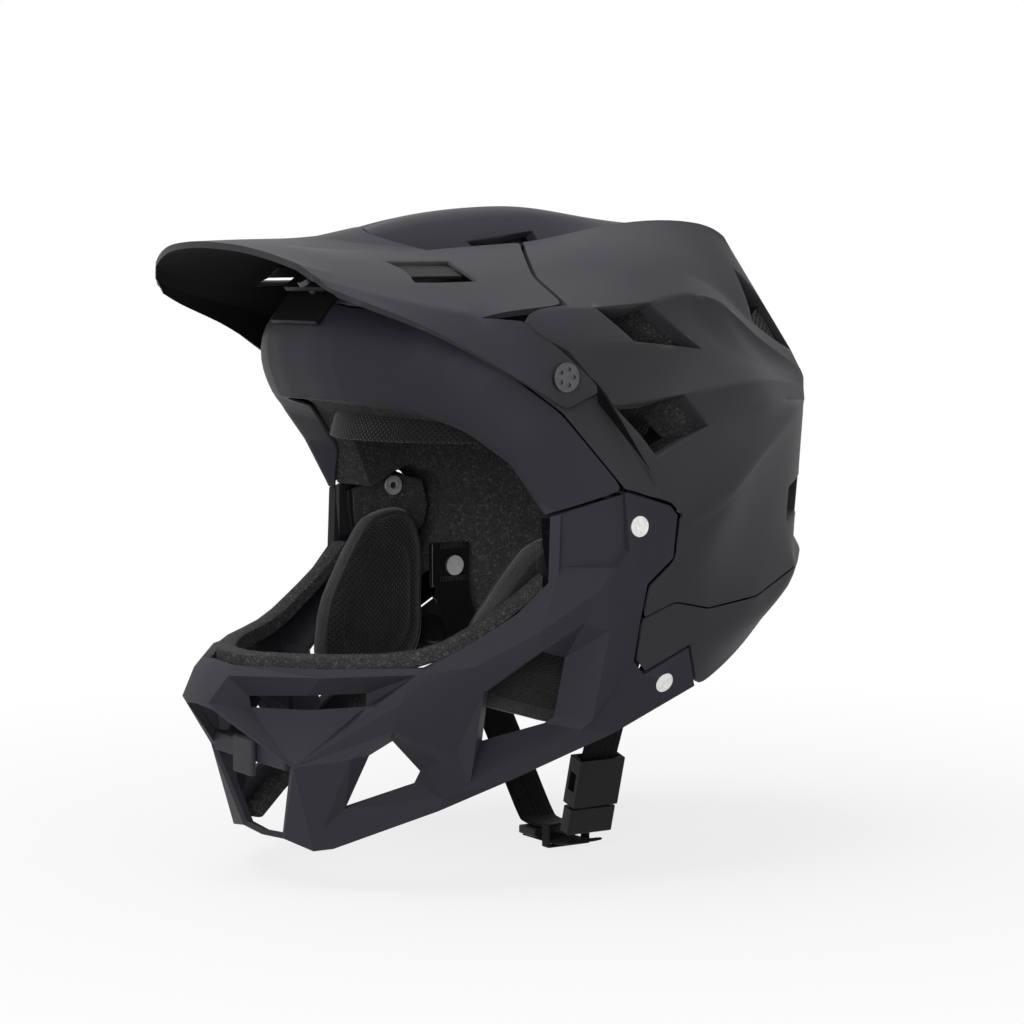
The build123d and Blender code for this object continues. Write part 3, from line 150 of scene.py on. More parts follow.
def tube_faces(count: int, rings: int) -> list[list[int]]:
    """The faces between closed rings of corners that are numbered ring by ring.

    Args:
        count: How many corners a ring has.
        rings: How many rings there are.

    Returns:
        The faces, as corner numbers.
    """
    faces = []
    for start in range(0, (rings - 1) * count, count):
        for corner in range(count):
            after = (corner + 1) % count
            faces.append([start + corner, start + after, start + count + after, start + count + corner])
    return faces


def mesh_piece(name: str, places: Sequence[Sequence[float]], faces: Sequence[Sequence[int]],
               flat: dict[int, tuple[float, float]]) -> bpy.types.Object:
    """Makes a closed mesh with outward faces.

    Args:
        name: The piece's name.
        places: Its corners, in millimetres.
        faces: Its faces, as corner numbers.
        flat: Where each corner lies on the cloth, in millimetres.

    Returns:
        The new object.
    """
    mesh = bpy.data.meshes.new(name)
    mesh.from_pydata([metres(place) for place in places], [], [list(face) for face in faces])
    layer = mesh.uv_layers.new(name=CLOTH_MAP)
    for loop in mesh.loops:
        across, along = flat[loop.vertex_index]
        layer.data[loop.index].uv = (across * MM, along * MM)
    work = bmesh.new()
    work.from_mesh(mesh)
    bmesh.ops.recalc_face_normals(work, faces=work.faces)
    for face in work.faces:
        face.smooth = True
    work.to_mesh(mesh)
    work.free()
    return new_piece(name, mesh)


def modify(piece: bpy.types.Object, kind: str, **settings: Any) -> bpy.types.Modifier:
    """Adds a modifier with its settings and returns it."""
    modifier = piece.modifiers.new(kind.lower(), kind)
    for name, value in settings.items():
        setattr(modifier, name, value)
    return modifier


def mirror_name(name: str, side: int) -> str:
    """A piece's name with the wearer's side that it is on."""
    return f"{name}_left" if side > 0 else f"{name}_right"


@dataclass(frozen=True)
class Moulding:
    """How a moulded part is finished from its plain solid.

    Attributes:
        crease: Bend in degrees from which an edge stays sharp under the subdivision.
        levels: Subdivision levels of the soft surfaces between the sharp edges.
        round_over: Radius of the rounded edges, in millimetres.
        round_from: Bend in degrees from which an edge is rounded.
        segments: How many faces round one edge.
        joined: Bend in degrees up to which two triangles become one face.
        skewed: How far from a rectangle that face may be, in degrees.
    """

    crease: float = 24.0
    levels: int = 1
    round_over: float = 0.5
    round_from: float = 30.0
    segments: int = 2
    joined: float = 12.0
    skewed: float = 60.0

    def copy_of(self, node: str, name: str) -> bpy.types.Object:
        """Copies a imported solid's mesh, merged and rounded.

        Args:
            node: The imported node.
            name: The new piece's name.

        Returns:
            The new object, its modifiers live.
        """
        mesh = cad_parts[node].data.copy()
        mesh.name = name
        mesh.materials.clear()
        work = bmesh.new()
        work.from_mesh(mesh)
        bmesh.ops.remove_doubles(work, verts=work.verts, dist=WELD)
        bmesh.ops.dissolve_degenerate(work, edges=work.edges, dist=WELD / 2)
        bmesh.ops.join_triangles(work, faces=work.faces, angle_face_threshold=math.radians(self.joined),
                                 angle_shape_threshold=math.radians(self.skewed))
        sharp = math.radians(self.crease)
        creases = work.edges.layers.float.new("crease_edge")
        for edge in work.edges:
            edge.smooth = True
            if len(edge.link_faces) == 2 and edge.calc_face_angle(0.0) > sharp:
                edge[creases] = 1.0
        for face in work.faces:
            face.smooth = True
        work.to_mesh(mesh)
        work.free()
        piece = new_piece(name, mesh)
        if self.levels:
            modify(piece, "SUBSURF", levels=self.levels, render_levels=self.levels,
                   boundary_smooth="PRESERVE_CORNERS")
        if self.round_over:
            modify(piece, "BEVEL", width=self.round_over * MM, segments=self.segments,
                   limit_method="ANGLE", angle_limit=math.radians(self.round_from),
                   use_clamp_overlap=True, miter_outer="MITER_ARC")
        modify(piece, "WEIGHTED_NORMAL", keep_sharp=False, weight=60)
        return piece


# Shells from rows of listed points

Row = list[Vector | None]
Outline = list[Vector]
Faces = list[tuple[str, Outline]]
TagOf = Callable[[float, float], str]


def mark(point: Vector) -> tuple[float, ...]:
    """A point's name, the same for points in one place."""
    return tuple(round(value, 4) + 0.0 for value in point)


def mirrored(point: Vector) -> Vector:
    """The same point on the other side of the head."""
    return Vector((-point.x, point.y, point.z))


def mean(points: Sequence[Vector]) -> Vector:
    """The middle of some points."""
    return sum(points, Vector()) / len(points)


def both_sides(faces: Faces) -> Faces:
    """Some faces and their mirror images."""
    return faces + [(tag, [mirrored(point) for point in reversed(corners)]) for tag, corners in faces]


def halfway(before: Vector | None, a: Vector, b: Vector, after: Vector | None,
            known: dict[Any, Vector]) -> Vector:
    """The point between a and b on a smooth line through its neighbours.

    Args:
        before, a, b, after: Four points in a row, the outer ones none past a sharp crease.
        known: The points found so far, so that both patches at a border get the same.

    Returns:
        The new point.
    """
    name = frozenset((mark(a), mark(b)))
    if name not in known:
        if before is None and a.x == 0 and b.x > 0:
            before = mirrored(b)
        if mark(a) == mark(b) or (before is None and after is None):
            known[name] = (a + b) / 2
        elif before is None:
            known[name] = (3 * a + 6 * b - after) / 8
        elif after is None:
            known[name] = (3 * b + 6 * a - before) / 8
        else:
            known[name] = (9 * (a + b) - before - after) / 16
    return known[name]


def denser(line: Sequence[Vector | None], breaks: set[int], known: dict[Any, Vector]) -> Row:
    """A row with one more point between every two, sharp at the breaks."""
    dense: Row = []
    for index, point in enumerate(line):
        if index:
            last = line[index - 1]
            if point is None or last is None:
                dense.append(None)
            else:
                before = line[index - 2] if index > 1 and index - 1 not in breaks else None
                inside = index + 1 < len(line) and index not in breaks
                after = line[index + 1] if inside else None
                dense.append(halfway(before, last, point, after, known))
        dense.append(point)
    return dense


@dataclass
class Patch:
    """Rows of points that a smooth surface runs through, with sharp rows and columns.

    Attributes:
        rows: The points, none where the patch has a gap.
        row_breaks, column_breaks: Rows and columns that are creases.
        row_corners, column_corners: Sharp points of single rows and columns.
        finer: How many cells one first cell has become along each side.
    """

    rows: list[Row]
    row_breaks: set[int]
    column_breaks: set[int]
    row_corners: dict[int, set[int]] = field(default_factory=dict)
    column_corners: dict[int, set[int]] = field(default_factory=dict)
    finer: int = 1

    def refine(self, known: dict[Any, Vector]) -> None:
        """Puts one more point between every two."""
        rows = [denser(row, self.column_breaks | self.row_corners.get(index, set()), known)
                for index, row in enumerate(self.rows)]
        columns = []
        for index, column in enumerate(zip(*rows)):
            corners = self.column_corners.get(index // 2, set()) if index % 2 == 0 else set()
            columns.append(denser(column, self.row_breaks | corners, known))
        self.rows = [list(row) for row in zip(*columns)]
        self.row_breaks = {2 * index for index in self.row_breaks}
        self.column_breaks = {2 * index for index in self.column_breaks}
        for corners in ("row_corners", "column_corners"):
            doubled = {2 * i: {2 * j for j in marks} for i, marks in getattr(self, corners).items()}
            setattr(self, corners, doubled)
        self.finer *= 2

    def faces(self, tag_of: TagOf) -> Faces:
        """The patch's faces with their tags.

        Args:
            tag_of: Gives a cell's tag by its row and column, counted in first cells.

        Returns:
            Each face's tag and corners, anticlockwise from outside.
        """
        faces = []
        for i in range(len(self.rows) - 1):
            for j in range(len(self.rows[0]) - 1):
                this, below = self.rows[i], self.rows[i + 1]
                corners = [this[j], below[j], below[j + 1], this[j + 1]]
                tag = tag_of(i / self.finer, j / self.finer)
                if tag and None not in corners:
                    faces.append((tag, corners))
        return faces


def patched(patches: Sequence[Patch], tags: Sequence[TagOf], rounds: int) -> Faces:
    """The faces of some patches that share borders, refined, with their mirror images.

    Args:
        patches: The patches.
        tags: For each patch, what gives a cell's tag.
        rounds: How many times every cell is cut in four.

    Returns:
        Each face's tag and corners.
    """
    for _ in range(rounds):
        known: dict[Any, Vector] = {}
        for patch in patches:
            patch.refine(known)
    return both_sides([face for patch, tag_of in zip(patches, tags) for face in patch.faces(tag_of)])


@dataclass(frozen=True)
class Lip:
    """One ring of a vent's lip.

    Attributes:
        inwards: How far it is inside the outline, in millimetres.
        down: How deep it is under the surface.
        ramp: How much further inside it is at the vent's front end.
    """

    inwards: float
    down: float
    ramp: float = 0.0


# The end of a tag for a vent's deep walls, which are given a dark colour as painted shade, and how far down a
# ring is at least for it, in millimetres
DEEP = "_deep"
DEEP_FROM = 1.0


def sunk_vents(faces: Faces, lips: Sequence[Lip], skin: str) -> Faces:
    """Opens each group of faces whose tag starts with vent, and puts a lip round it.

    Args:
        faces: All faces with their tags.
        lips: The lip's rings, from the outside in.
        skin: The tag of the skin that the lips belong to.

    Returns:
        The other faces, and those of the lips.
    """
    kept = [face for face in faces if not face[0].startswith("vent")]
    groups: dict[tuple[str, bool], list[Outline]] = {}
    for tag, corners in faces:
        if tag.startswith("vent"):
            groups.setdefault((tag, mean(corners).x < 0), []).append(corners)
    for polygons in groups.values():
        ahead: dict[tuple[float, ...], Vector] = {}
        every = {(mark(a), mark(b)) for loop in polygons for a, b in zip(loop, loop[1:] + loop[:1])}
        normal = Vector()
        for loop in polygons:
            normal += (loop[1] - loop[0]).cross(loop[2] - loop[0])
            for a, b in zip(loop, loop[1:] + loop[:1]):
                if (mark(b), mark(a)) not in every:
                    ahead[mark(a)] = b
        normal.normalize()
        ring = [next(iter(ahead.values()))]
        while len(ring) < len(ahead):
            ring.append(ahead[mark(ring[-1])])
        middle = mean(ring)
        front = (Vector((0, -1, 0)) + normal * normal.y).normalized()
        outer = ring
        for lip in lips:
            inner = []
            for point in ring:
                way = middle - point
                share = max(0.0, -way.normalized().dot(front)) ** 2
                aside = way.normalized() * (lip.inwards + lip.ramp * share)
                inner.append(point + aside - normal * lip.down)
            for index in range(len(ring)):
                after = (index + 1) % len(ring)
                kept.append((skin + (DEEP if lip.down > DEEP_FROM else ""),
                             [outer[index], outer[after], inner[after], inner[index]]))
            outer = inner
    return kept


@dataclass(frozen=True)
class Sheet:
    """How a shell is made from its outer faces.

    Attributes:
        wall: Its thickness, in millimetres.
        gap: How far its border stays back from its neighbour's.
        rim: Radius of its rim.
        clamp: Most that the wall may be of the length of the edges beside it, 0 for no limit.
        soft, hard: Bends in degrees at which a crease starts to hold, and holds fully.
        hold: How firmly a full crease holds, 0 to 1.
        round_from: Bend in degrees from which an edge is rounded.
        least_reach: Cosine of the widest turn that a border's corner is fully drawn in for.
    """

    wall: float = 3.0
    gap: float = 0.4
    rim: float = 0.5
    clamp: float = 1.2
    soft: float = 3.0
    hard: float = 14.0
    hold: float = 0.93
    round_from: float = 50.0
    least_reach: float = 0.5

    def built(self, name: str, faces: Faces, tag: str) -> bpy.types.Object:
        """Makes the shell.

        Args:
            name: The piece's name.
            faces: Outer faces with their tags, corners in millimetres, anticlockwise from outside.
            tag: The tag of the shell's own faces. The walls deep in its vents have the second material,
                as its inside has.

        Returns:
            The new object, its modifiers live.
        """
        number: dict[tuple[float, ...], int] = {}
        places, loops, inks = [], [], []
        for material, wanted in enumerate((tag, tag + DEEP)):
            for polygon in (corners for part, corners in faces if part == wanted):
                loop = []
                for point in polygon:
                    if mark(point) not in number:
                        number[mark(point)] = len(places)
                        places.append(point * MM)
                    if number[mark(point)] not in loop:
                        loop.append(number[mark(point)])
                if len(loop) > 2:
                    loops.append(loop)
                    inks.append(material)
        mesh = bpy.data.meshes.new(name)
        mesh.from_pydata(places, [], loops)
        mesh.polygons.foreach_set("material_index", inks)
        work = bmesh.new()
        work.from_mesh(mesh)
        self.draw_in(work)
        creases = work.edges.layers.float.new("crease_edge")
        for edge in work.edges:
            if len(edge.link_faces) == 2:
                bend = math.degrees(edge.calc_face_angle(0.0))
                share = (bend - self.soft) / (self.hard - self.soft)
                edge[creases] = self.hold * min(max(share, 0.0), 1.0)
        for face in work.faces:
            face.smooth = True
        work.to_mesh(mesh)
        work.free()
        piece = new_piece(name, mesh)
        modify(piece, "SUBSURF", levels=1, render_levels=1)
        modify(piece, "SOLIDIFY", thickness=self.wall * MM, offset=-1.0, material_offset=1,
               thickness_clamp=self.clamp)
        modify(piece, "BEVEL", width=self.rim * MM, segments=2, limit_method="ANGLE",
               angle_limit=math.radians(self.round_from))
        modify(piece, "WEIGHTED_NORMAL", keep_sharp=False, weight=50)
        return piece

    def draw_in(self, work: bmesh.types.BMesh) -> None:
        """Moves the mesh's border inwards by the gap."""
        pulls: dict[Any, list[Vector]] = {}
        for edge in work.edges:
            if edge.is_boundary:
                face = edge.link_faces[0]
                along = (edge.verts[1].co - edge.verts[0].co).normalized()
                inward = face.normal.cross(along)
                if inward.dot(face.calc_center_median() - edge.verts[0].co) < 0:
                    inward.negate()
                for vertex in edge.verts:
                    pulls.setdefault(vertex, []).append(inward)
        for vertex, ways in pulls.items():
            way = sum(ways, Vector()).normalized()
            reach = sum(way.dot(each) for each in ways) / len(ways)
            vertex.co = vertex.co + way * (self.gap * MM / max(reach, self.least_reach))


# Node trees


class Graph:
    """Adds nodes to one tree and links them."""

    def __init__(self, tree: bpy.types.NodeTree) -> None:
        """Starts on a tree and keeps what is in it."""
        self.tree = tree

    def add(self, kind: str, feeds: dict[int | str, Any] | None = None, **settings: Any) -> bpy.types.Node:
        """Adds a node.

        Args:
            kind: Its type.
            feeds: What goes into its sockets, values or other sockets, by name or number.
            settings: Its own settings.

        Returns:
            The new node.
        """
        node = self.tree.nodes.new(kind)
        for name, value in settings.items():
            setattr(node, name, value)
        for name, value in (feeds or {}).items():
            if isinstance(value, bpy.types.NodeSocket):
                self.tree.links.new(value, node.inputs[name])
            else:
                node.inputs[name].default_value = value
        return node

    def math(self, operation: str, *values: Any) -> bpy.types.NodeSocket:
        """The result of a sum on numbers or sockets."""
        return self.add("ShaderNodeMath", dict(enumerate(values)), operation=operation).outputs[0]

    def ramp(self, value: Any, low: float, high: float, to_low: float = 0.0,
             to_high: float = 1.0) -> bpy.types.NodeSocket:
        """A value carried from one range into another, held at its ends."""
        feeds = {"Value": value, "From Min": low, "From Max": high, "To Min": to_low, "To Max": to_high}
        return self.add("ShaderNodeMapRange", feeds, interpolation_type="SMOOTHSTEP").outputs[0]

    def place(self) -> bpy.types.NodeSocket:
        """Where a point is on its object, in metres."""
        return self.add("ShaderNodeTexCoord").outputs["Object"]

    def cloth(self) -> bpy.types.NodeSocket:
        """Where a point is on its flat cloth, in metres."""
        return self.add("ShaderNodeUVMap", uv_map=CLOTH_MAP).outputs[0]

    def noise(self, place: Any, scale: Any, detail: float = 2.0, **settings: Any) -> bpy.types.NodeSocket:
        """Soft noise round one half, with so many lumps to the metre."""
        feeds = {"Vector": place, "Scale": scale, "Detail": detail}
        return self.add("ShaderNodeTexNoise", feeds, **settings).outputs[0]

    def scaled(self, vector: Any, scale: Any) -> bpy.types.NodeSocket:
        """A vector or colour times a number."""
        return self.add("ShaderNodeVectorMath", {0: vector, "Scale": scale}, operation="SCALE").outputs[0]


COLOUR, NUMBER = "NodeSocketColor", "NodeSocketFloat"
Results = dict[str, bpy.types.NodeSocket]


class Effect:
    """A shader node group that several finishes share, made once."""

    made: dict[str, bpy.types.NodeTree] = {}

    @classmethod
    def group(cls, inputs: Iterable[str], outputs: Iterable[str],
              fill: Callable[[Graph, Any], Results]) -> bpy.types.NodeTree:
        """Gives the group that a function fills, and makes it the first time.

        Args:
            inputs: Its inputs' names. Each is a number, but for the colour.
            outputs: Its outputs' names.
            fill: Adds the nodes, given the graph and the input sockets, and returns the outputs.

        Returns:
            The node group.
        """
        name = fill.__name__
        if name not in cls.made:
            tree = bpy.data.node_groups.new(name, "ShaderNodeTree")
            for sockets, way in ((inputs, "INPUT"), (outputs, "OUTPUT")):
                for socket in sockets:
                    kind = COLOUR if socket == "Colour" else NUMBER
                    tree.interface.new_socket(socket, in_out=way, socket_type=kind)
            graph = Graph(tree)
            graph.add("NodeGroupOutput", fill(graph, graph.add("NodeGroupInput").outputs))
            cls.made[name] = tree
        return cls.made[name]


def moulded_grain(graph: Graph, given: Any) -> Results:
    """Fills the group for moulded grain: fine bumps, slow changes of tone, and sharp edges painted lighter as
    a highlight.
    """
    drift, uneven, rubbed_smooth = 24.0, 0.16, -0.08
    place = graph.place()
    fine = graph.add("ShaderNodeTexNoise", {"Vector": place, "Scale": given["Grain Scale"], "Detail": 3.0,
                                            "Roughness": 0.6}).outputs[0]
    slow = graph.noise(place, drift)
    edge = graph.ramp(graph.add("ShaderNodeNewGeometry").outputs["Pointiness"], 0.52, 0.62)
    light = graph.math("MULTIPLY", graph.math("SUBTRACT", slow, 0.5), given["Tone Shift"])
    # Sharp edges, found by Pointiness, are painted lighter here: a painted highlight.
    light = graph.math("MULTIPLY_ADD", edge, given["Edge Rub"], light)
    light = graph.math("MULTIPLY_ADD", graph.math("SUBTRACT", fine, 0.5), given["Speckle"], light)
    colour = graph.scaled(given["Colour"], graph.math("ADD", light, 1.0))
    rough = graph.math("MULTIPLY_ADD", graph.math("SUBTRACT", fine, 0.5), uneven, given["Roughness"])
    rough = graph.math("MULTIPLY_ADD", edge, rubbed_smooth, rough)
    return {"Colour": colour, "Roughness": rough, "Height": fine}


def foam_beads(graph: Graph, given: Any) -> Results:
    """Fills the group for bead foam: rounded cells with dark joints, a few of them lighter."""
    lumps, furthest = 260.0, 1.2 * MM
    place = graph.place()
    wander = graph.add("ShaderNodeTexNoise", {"Vector": place, "Scale": lumps}).outputs["Color"]
    place = graph.add("ShaderNodeVectorMath", {0: place, 1: graph.scaled(wander, furthest)},
                      operation="ADD").outputs[0]
    cells = graph.add("ShaderNodeTexVoronoi", {"Vector": place, "Scale": given["Bead Scale"]})
    joints = graph.add("ShaderNodeTexVoronoi", {"Vector": place, "Scale": given["Bead Scale"]},
                       feature="DISTANCE_TO_EDGE").outputs["Distance"]
    dome = graph.ramp(joints, 0.0, 0.22)
    shine = graph.add("ShaderNodeSeparateColor", {0: cells.outputs["Color"]}).outputs[0]
    light = graph.math("ADD", graph.ramp(dome, 0.0, 1.0, 0.55, 1.0),
                       graph.ramp(shine, 0.6, 1.0, 0.0, 0.5))
    return {"Colour": graph.scaled(given["Colour"], light), "Height": dome}


def knit_holes(graph: Graph, given: Any) -> Results:
    """Fills the group for spacer knit: small holes in a diamond grid, over fuzzy yarn."""
    fuzz, wear = 2600.0, 60.0
    flat = graph.cloth()
    turned = graph.add("ShaderNodeMapping", {"Vector": flat, "Rotation": (0, 0, math.radians(45))}).outputs[0]
    holes = graph.add("ShaderNodeTexVoronoi", {"Vector": turned, "Scale": given["Hole Scale"],
                                               "Randomness": 0.08},
                      voronoi_dimensions="2D").outputs["Distance"]
    hole = graph.ramp(holes, 0.14, 0.34)
    yarn = graph.noise(flat, fuzz, noise_dimensions="2D")
    worn = graph.noise(flat, wear, noise_dimensions="2D")
    light = graph.math("MULTIPLY", graph.ramp(hole, 0.0, 1.0, 0.25, 1.0),
                       graph.ramp(yarn, 0.2, 0.8, 0.7, 1.35))
    light = graph.math("MULTIPLY", light, graph.ramp(worn, 0.3, 0.7, 0.9, 1.12))
    return {"Colour": graph.scaled(given["Colour"], light),
            "Height": graph.math("MULTIPLY_ADD", yarn, 0.3, hole)}


def tape_weave(graph: Graph, given: Any) -> Results:
    """Fills the group for woven tape: cross ribs whose yarns slant one way and the other, painted lighter on
    their crests and darker between them as highlight and shade.
    """
    slant, yarns = 1.6 * MM, 3900.0
    flat = graph.add("ShaderNodeSeparateXYZ", {0: graph.cloth()})
    across, along = flat.outputs[0], flat.outputs[1]
    fold = graph.math("PINGPONG", across, slant)
    rib = graph.math("SINE", graph.math("MULTIPLY", graph.math("ADD", along, fold), given["Rib Scale"]))
    yarn = graph.math("SINE", graph.math("MULTIPLY", across, yarns))
    height = graph.math("MULTIPLY_ADD", yarn, 0.35, rib)
    # Colour follows the relief: crests are painted lighter as a highlight, grooves darker as shade.
    light = graph.ramp(height, -1.2, 1.2, 0.45, 1.3)
    return {"Colour": graph.scaled(given["Colour"], light),
            "Height": graph.math("MULTIPLY_ADD", height, 0.4, 0.5)}


def brushed_metal(graph: Graph, given: Any) -> Results:
    """Fills the group for turned metal: fine streaks and small stains."""
    streaks, stains = 5200.0, 420.0
    place = graph.place()
    drawn = graph.add("ShaderNodeMapping", {"Vector": place, "Scale": (1, 1, 0.12)}).outputs[0]
    streak = graph.noise(drawn, streaks)
    stain = graph.noise(place, stains, detail=3.0)
    light = graph.math("MULTIPLY", graph.ramp(streak, 0.2, 0.8, 0.9, 1.05),
                       graph.ramp(stain, 0.3, 0.7, 0.86, 1.04))
    return {"Colour": graph.scaled(given["Colour"], light),
            "Roughness": graph.math("MULTIPLY_ADD", stain, 0.2, given["Roughness"]),
            "Height": streak}


# Finishes


@dataclass(frozen=True)
class Finish:
    """What every finish has.

    Attributes:
        name: The material's name.
        slot: The material slot of the record that it stands for, not used.
        colour: The main colour.
        roughness: How matte it is, 0 to 1.
        relief: Depth of the finest relief, in millimetres.
    """

    name: str
    slot: str
    colour: Colour
    roughness: float
    relief: float

    outputs: ClassVar[tuple[str, ...]] = ("Colour", "Height")
    fill: ClassVar[Callable[[Graph, Any], Results]]

    def values(self) -> dict[str, Any]:
        """What goes into the effect's inputs."""
        return {"Colour": self.colour}

    def settings(self) -> dict[str, Any]:
        """What is the same all over the surface, on the shader's own sockets."""
        return {"Roughness": self.roughness}

    def material(self) -> bpy.types.Material:
        """The finish as a material, made the first time it is asked for."""
        known = bpy.data.materials.get(self.name)
        if known:
            return known
        material = bpy.data.materials.new(self.name)
        material.use_nodes = True
        graph = Graph(material.node_tree)
        shader = material.node_tree.nodes["Principled BSDF"]
        effect = graph.add("ShaderNodeGroup", self.values(),
                           node_tree=Effect.group(self.values(), self.outputs, self.fill)).outputs
        for name, value in self.settings().items():
            shader.inputs[name].default_value = value
        graph.tree.links.new(effect["Colour"], shader.inputs["Base Color"])
        if "Roughness" in self.outputs:
            graph.tree.links.new(effect["Roughness"], shader.inputs["Roughness"])
        bump = graph.add("ShaderNodeBump", {"Height": effect["Height"], "Strength": 1.0,
                                            "Distance": self.relief * MM})
        graph.tree.links.new(bump.outputs[0], shader.inputs["Normal"])
        material.diffuse_color = self.colour
        return material


@dataclass(frozen=True)
class MouldedPlastic(Finish):
    """Matte or satin moulded plastic.

    Attributes:
        grain: Width of one bump of the grain, in millimetres.
        tone: How far the colour drifts over a hand's width.
        rub: How much lighter the edges are painted, a painted highlight.
        speckle: How far the grain shows in the colour.
        gloss: The specular level.
    """

    grain: float = 0.35
    tone: float = 0.16
    rub: float = 0.35
    speckle: float = 0.1
    gloss: float = 0.15

    outputs: ClassVar[tuple[str, ...]] = ("Colour", "Roughness", "Height")
    fill: ClassVar[Callable[[Graph, Any], Results]] = staticmethod(moulded_grain)

    def values(self) -> dict[str, Any]:
        """What goes into the effect's inputs."""
        return {"Colour": self.colour, "Roughness": self.roughness, "Grain Scale": 1 / (self.grain * MM),
                "Tone Shift": self.tone, "Edge Rub": self.rub, "Speckle": self.speckle}

    def settings(self) -> dict[str, Any]:
        """What is the same all over the surface, on the shader's own sockets."""
        return {"Specular IOR Level": self.gloss}


@dataclass(frozen=True)
class BeadFoam(Finish):
    """Moulded bead foam.

    Attributes:
        bead: Width of a bead, in millimetres.
        gloss: The specular level.
    """

    bead: float = 1.5
    gloss: float = 0.06

    fill: ClassVar[Callable[[Graph, Any], Results]] = staticmethod(foam_beads)

    def values(self) -> dict[str, Any]:
        """What goes into the effect's inputs."""
        return {"Colour": self.colour, "Bead Scale": 1 / (self.bead * MM)}

    def settings(self) -> dict[str, Any]:
        """What is the same all over the surface, on the shader's own sockets."""
        return {"Roughness": self.roughness, "Specular IOR Level": self.gloss}


@dataclass(frozen=True)
class SpacerKnit(Finish):
    """Open knit over soft foam.

    Attributes:
        hole: Distance between two holes, in millimetres.
        sheen, sheen_roughness: Weight and spread of the fuzzy sheen.
        gloss: The specular level.
    """

    hole: float = 1.9
    sheen: float = 0.35
    sheen_roughness: float = 0.4
    gloss: float = 0.1

    fill: ClassVar[Callable[[Graph, Any], Results]] = staticmethod(knit_holes)

    def values(self) -> dict[str, Any]:
        """What goes into the effect's inputs."""
        return {"Colour": self.colour, "Hole Scale": 1 / (self.hole * MM)}

    def settings(self) -> dict[str, Any]:
        """What is the same all over the surface, on the shader's own sockets."""
        return {"Roughness": self.roughness, "Sheen Weight": self.sheen,
                "Sheen Roughness": self.sheen_roughness, "Specular IOR Level": self.gloss}


@dataclass(frozen=True)
class WovenTape(Finish):
    """Woven strap webbing.

    Attributes:
        rib: Distance between two cross ribs, in millimetres.
        sheen: Weight of the fuzzy sheen.
        gloss: The specular level.
    """

    rib: float = 1.15
    sheen: float = 0.05
    gloss: float = 0.08

    fill: ClassVar[Callable[[Graph, Any], Results]] = staticmethod(tape_weave)

    def values(self) -> dict[str, Any]:
        """What goes into the effect's inputs."""
        return {"Colour": self.colour, "Rib Scale": math.tau / (self.rib * MM)}

    def settings(self) -> dict[str, Any]:
        """What is the same all over the surface, on the shader's own sockets."""
        return {"Roughness": self.roughness, "Sheen Weight": self.sheen, "Specular IOR Level": self.gloss}


@dataclass(frozen=True)
class BareMetal(Finish):
    """Turned or plated metal."""

    outputs: ClassVar[tuple[str, ...]] = ("Colour", "Roughness", "Height")
    fill: ClassVar[Callable[[Graph, Any], Results]] = staticmethod(brushed_metal)

    def values(self) -> dict[str, Any]:
        """What goes into the effect's inputs."""
        return {"Colour": self.colour, "Roughness": self.roughness}

    def settings(self) -> dict[str, Any]:
        """What is the same all over the surface, on the shader's own sockets."""
        return {"Metallic": 1.0}


class Finishes(Enum):
    """The finishes of this helmet."""

    SHELL = MouldedPlastic("matte_shell", "shell_plastic", ink(66, 65, 70), 0.56, 0.03)
    FACE = MouldedPlastic("matte_face_shell", "shell_plastic", ink(58, 57, 64), 0.56, 0.03)
    TRIM = MouldedPlastic("black_trim", "trim_plastic", ink(24, 24, 25), 0.55, 0.02, rub=0.2)
    # Dark unpainted plastic for the shells' insides and deep vent walls, darkened further as painted shade.
    INSIDE = MouldedPlastic("shell_inside", "shell_plastic", ink(17, 17, 18), 0.75, 0.02, tone=0.1, rub=0.0,
                            gloss=0.04)
    BUCKLE = MouldedPlastic("satin_buckle", "buckle_plastic", ink(34, 34, 36), 0.4, 0.01, grain=0.5, rub=0.3)
    RUBBER = MouldedPlastic("soft_rubber", "rubber_trim", ink(26, 26, 27), 0.7, 0.03, grain=0.3, rub=0.1)
    FOAM = BeadFoam("bead_foam", "liner_foam", ink(84, 84, 85), 0.72, 0.25)
    # The foam's outward faces, seen in the deep vent channels, get this dark colour as painted shade.
    FOAM_BACK = BeadFoam("bead_foam_back", "liner_foam", ink(22, 22, 23), 0.85, 0.25)
    KNIT = SpacerKnit("open_knit", "pad_fabric", ink(44, 44, 46), 0.85, 0.3)
    GUSSET = SpacerKnit("gusset_knit", "pad_fabric", ink(66, 66, 68), 0.75, 0.12, hole=1.1, sheen=0.5)
    TAPE = WovenTape("woven_tape", "webbing", ink(20, 20, 21), 0.7, 0.18)
    THREAD = MouldedPlastic("sewing_thread", "pad_fabric", ink(52, 52, 54), 0.6, 0.02, grain=0.2)
    TAPE_THREAD = MouldedPlastic("bar_tack_thread", "webbing", ink(40, 40, 42), 0.6, 0.02, grain=0.2)
    SCREW = BareMetal("plated_screw", "screw_metal", ink(92, 92, 94), 0.34, 0.01)
    WASHER = BareMetal("bright_washer", "screw_metal", ink(176, 176, 176), 0.4, 0.01)
    STUD = BareMetal("bright_stud", "stud_metal", ink(236, 236, 234), 0.42, 0.01)
    GRILLE = MouldedPlastic("grille_wire", "grille_mesh", ink(82, 82, 84), 0.55, 0.01, grain=0.3, rub=0.1)


# Geometry node trees


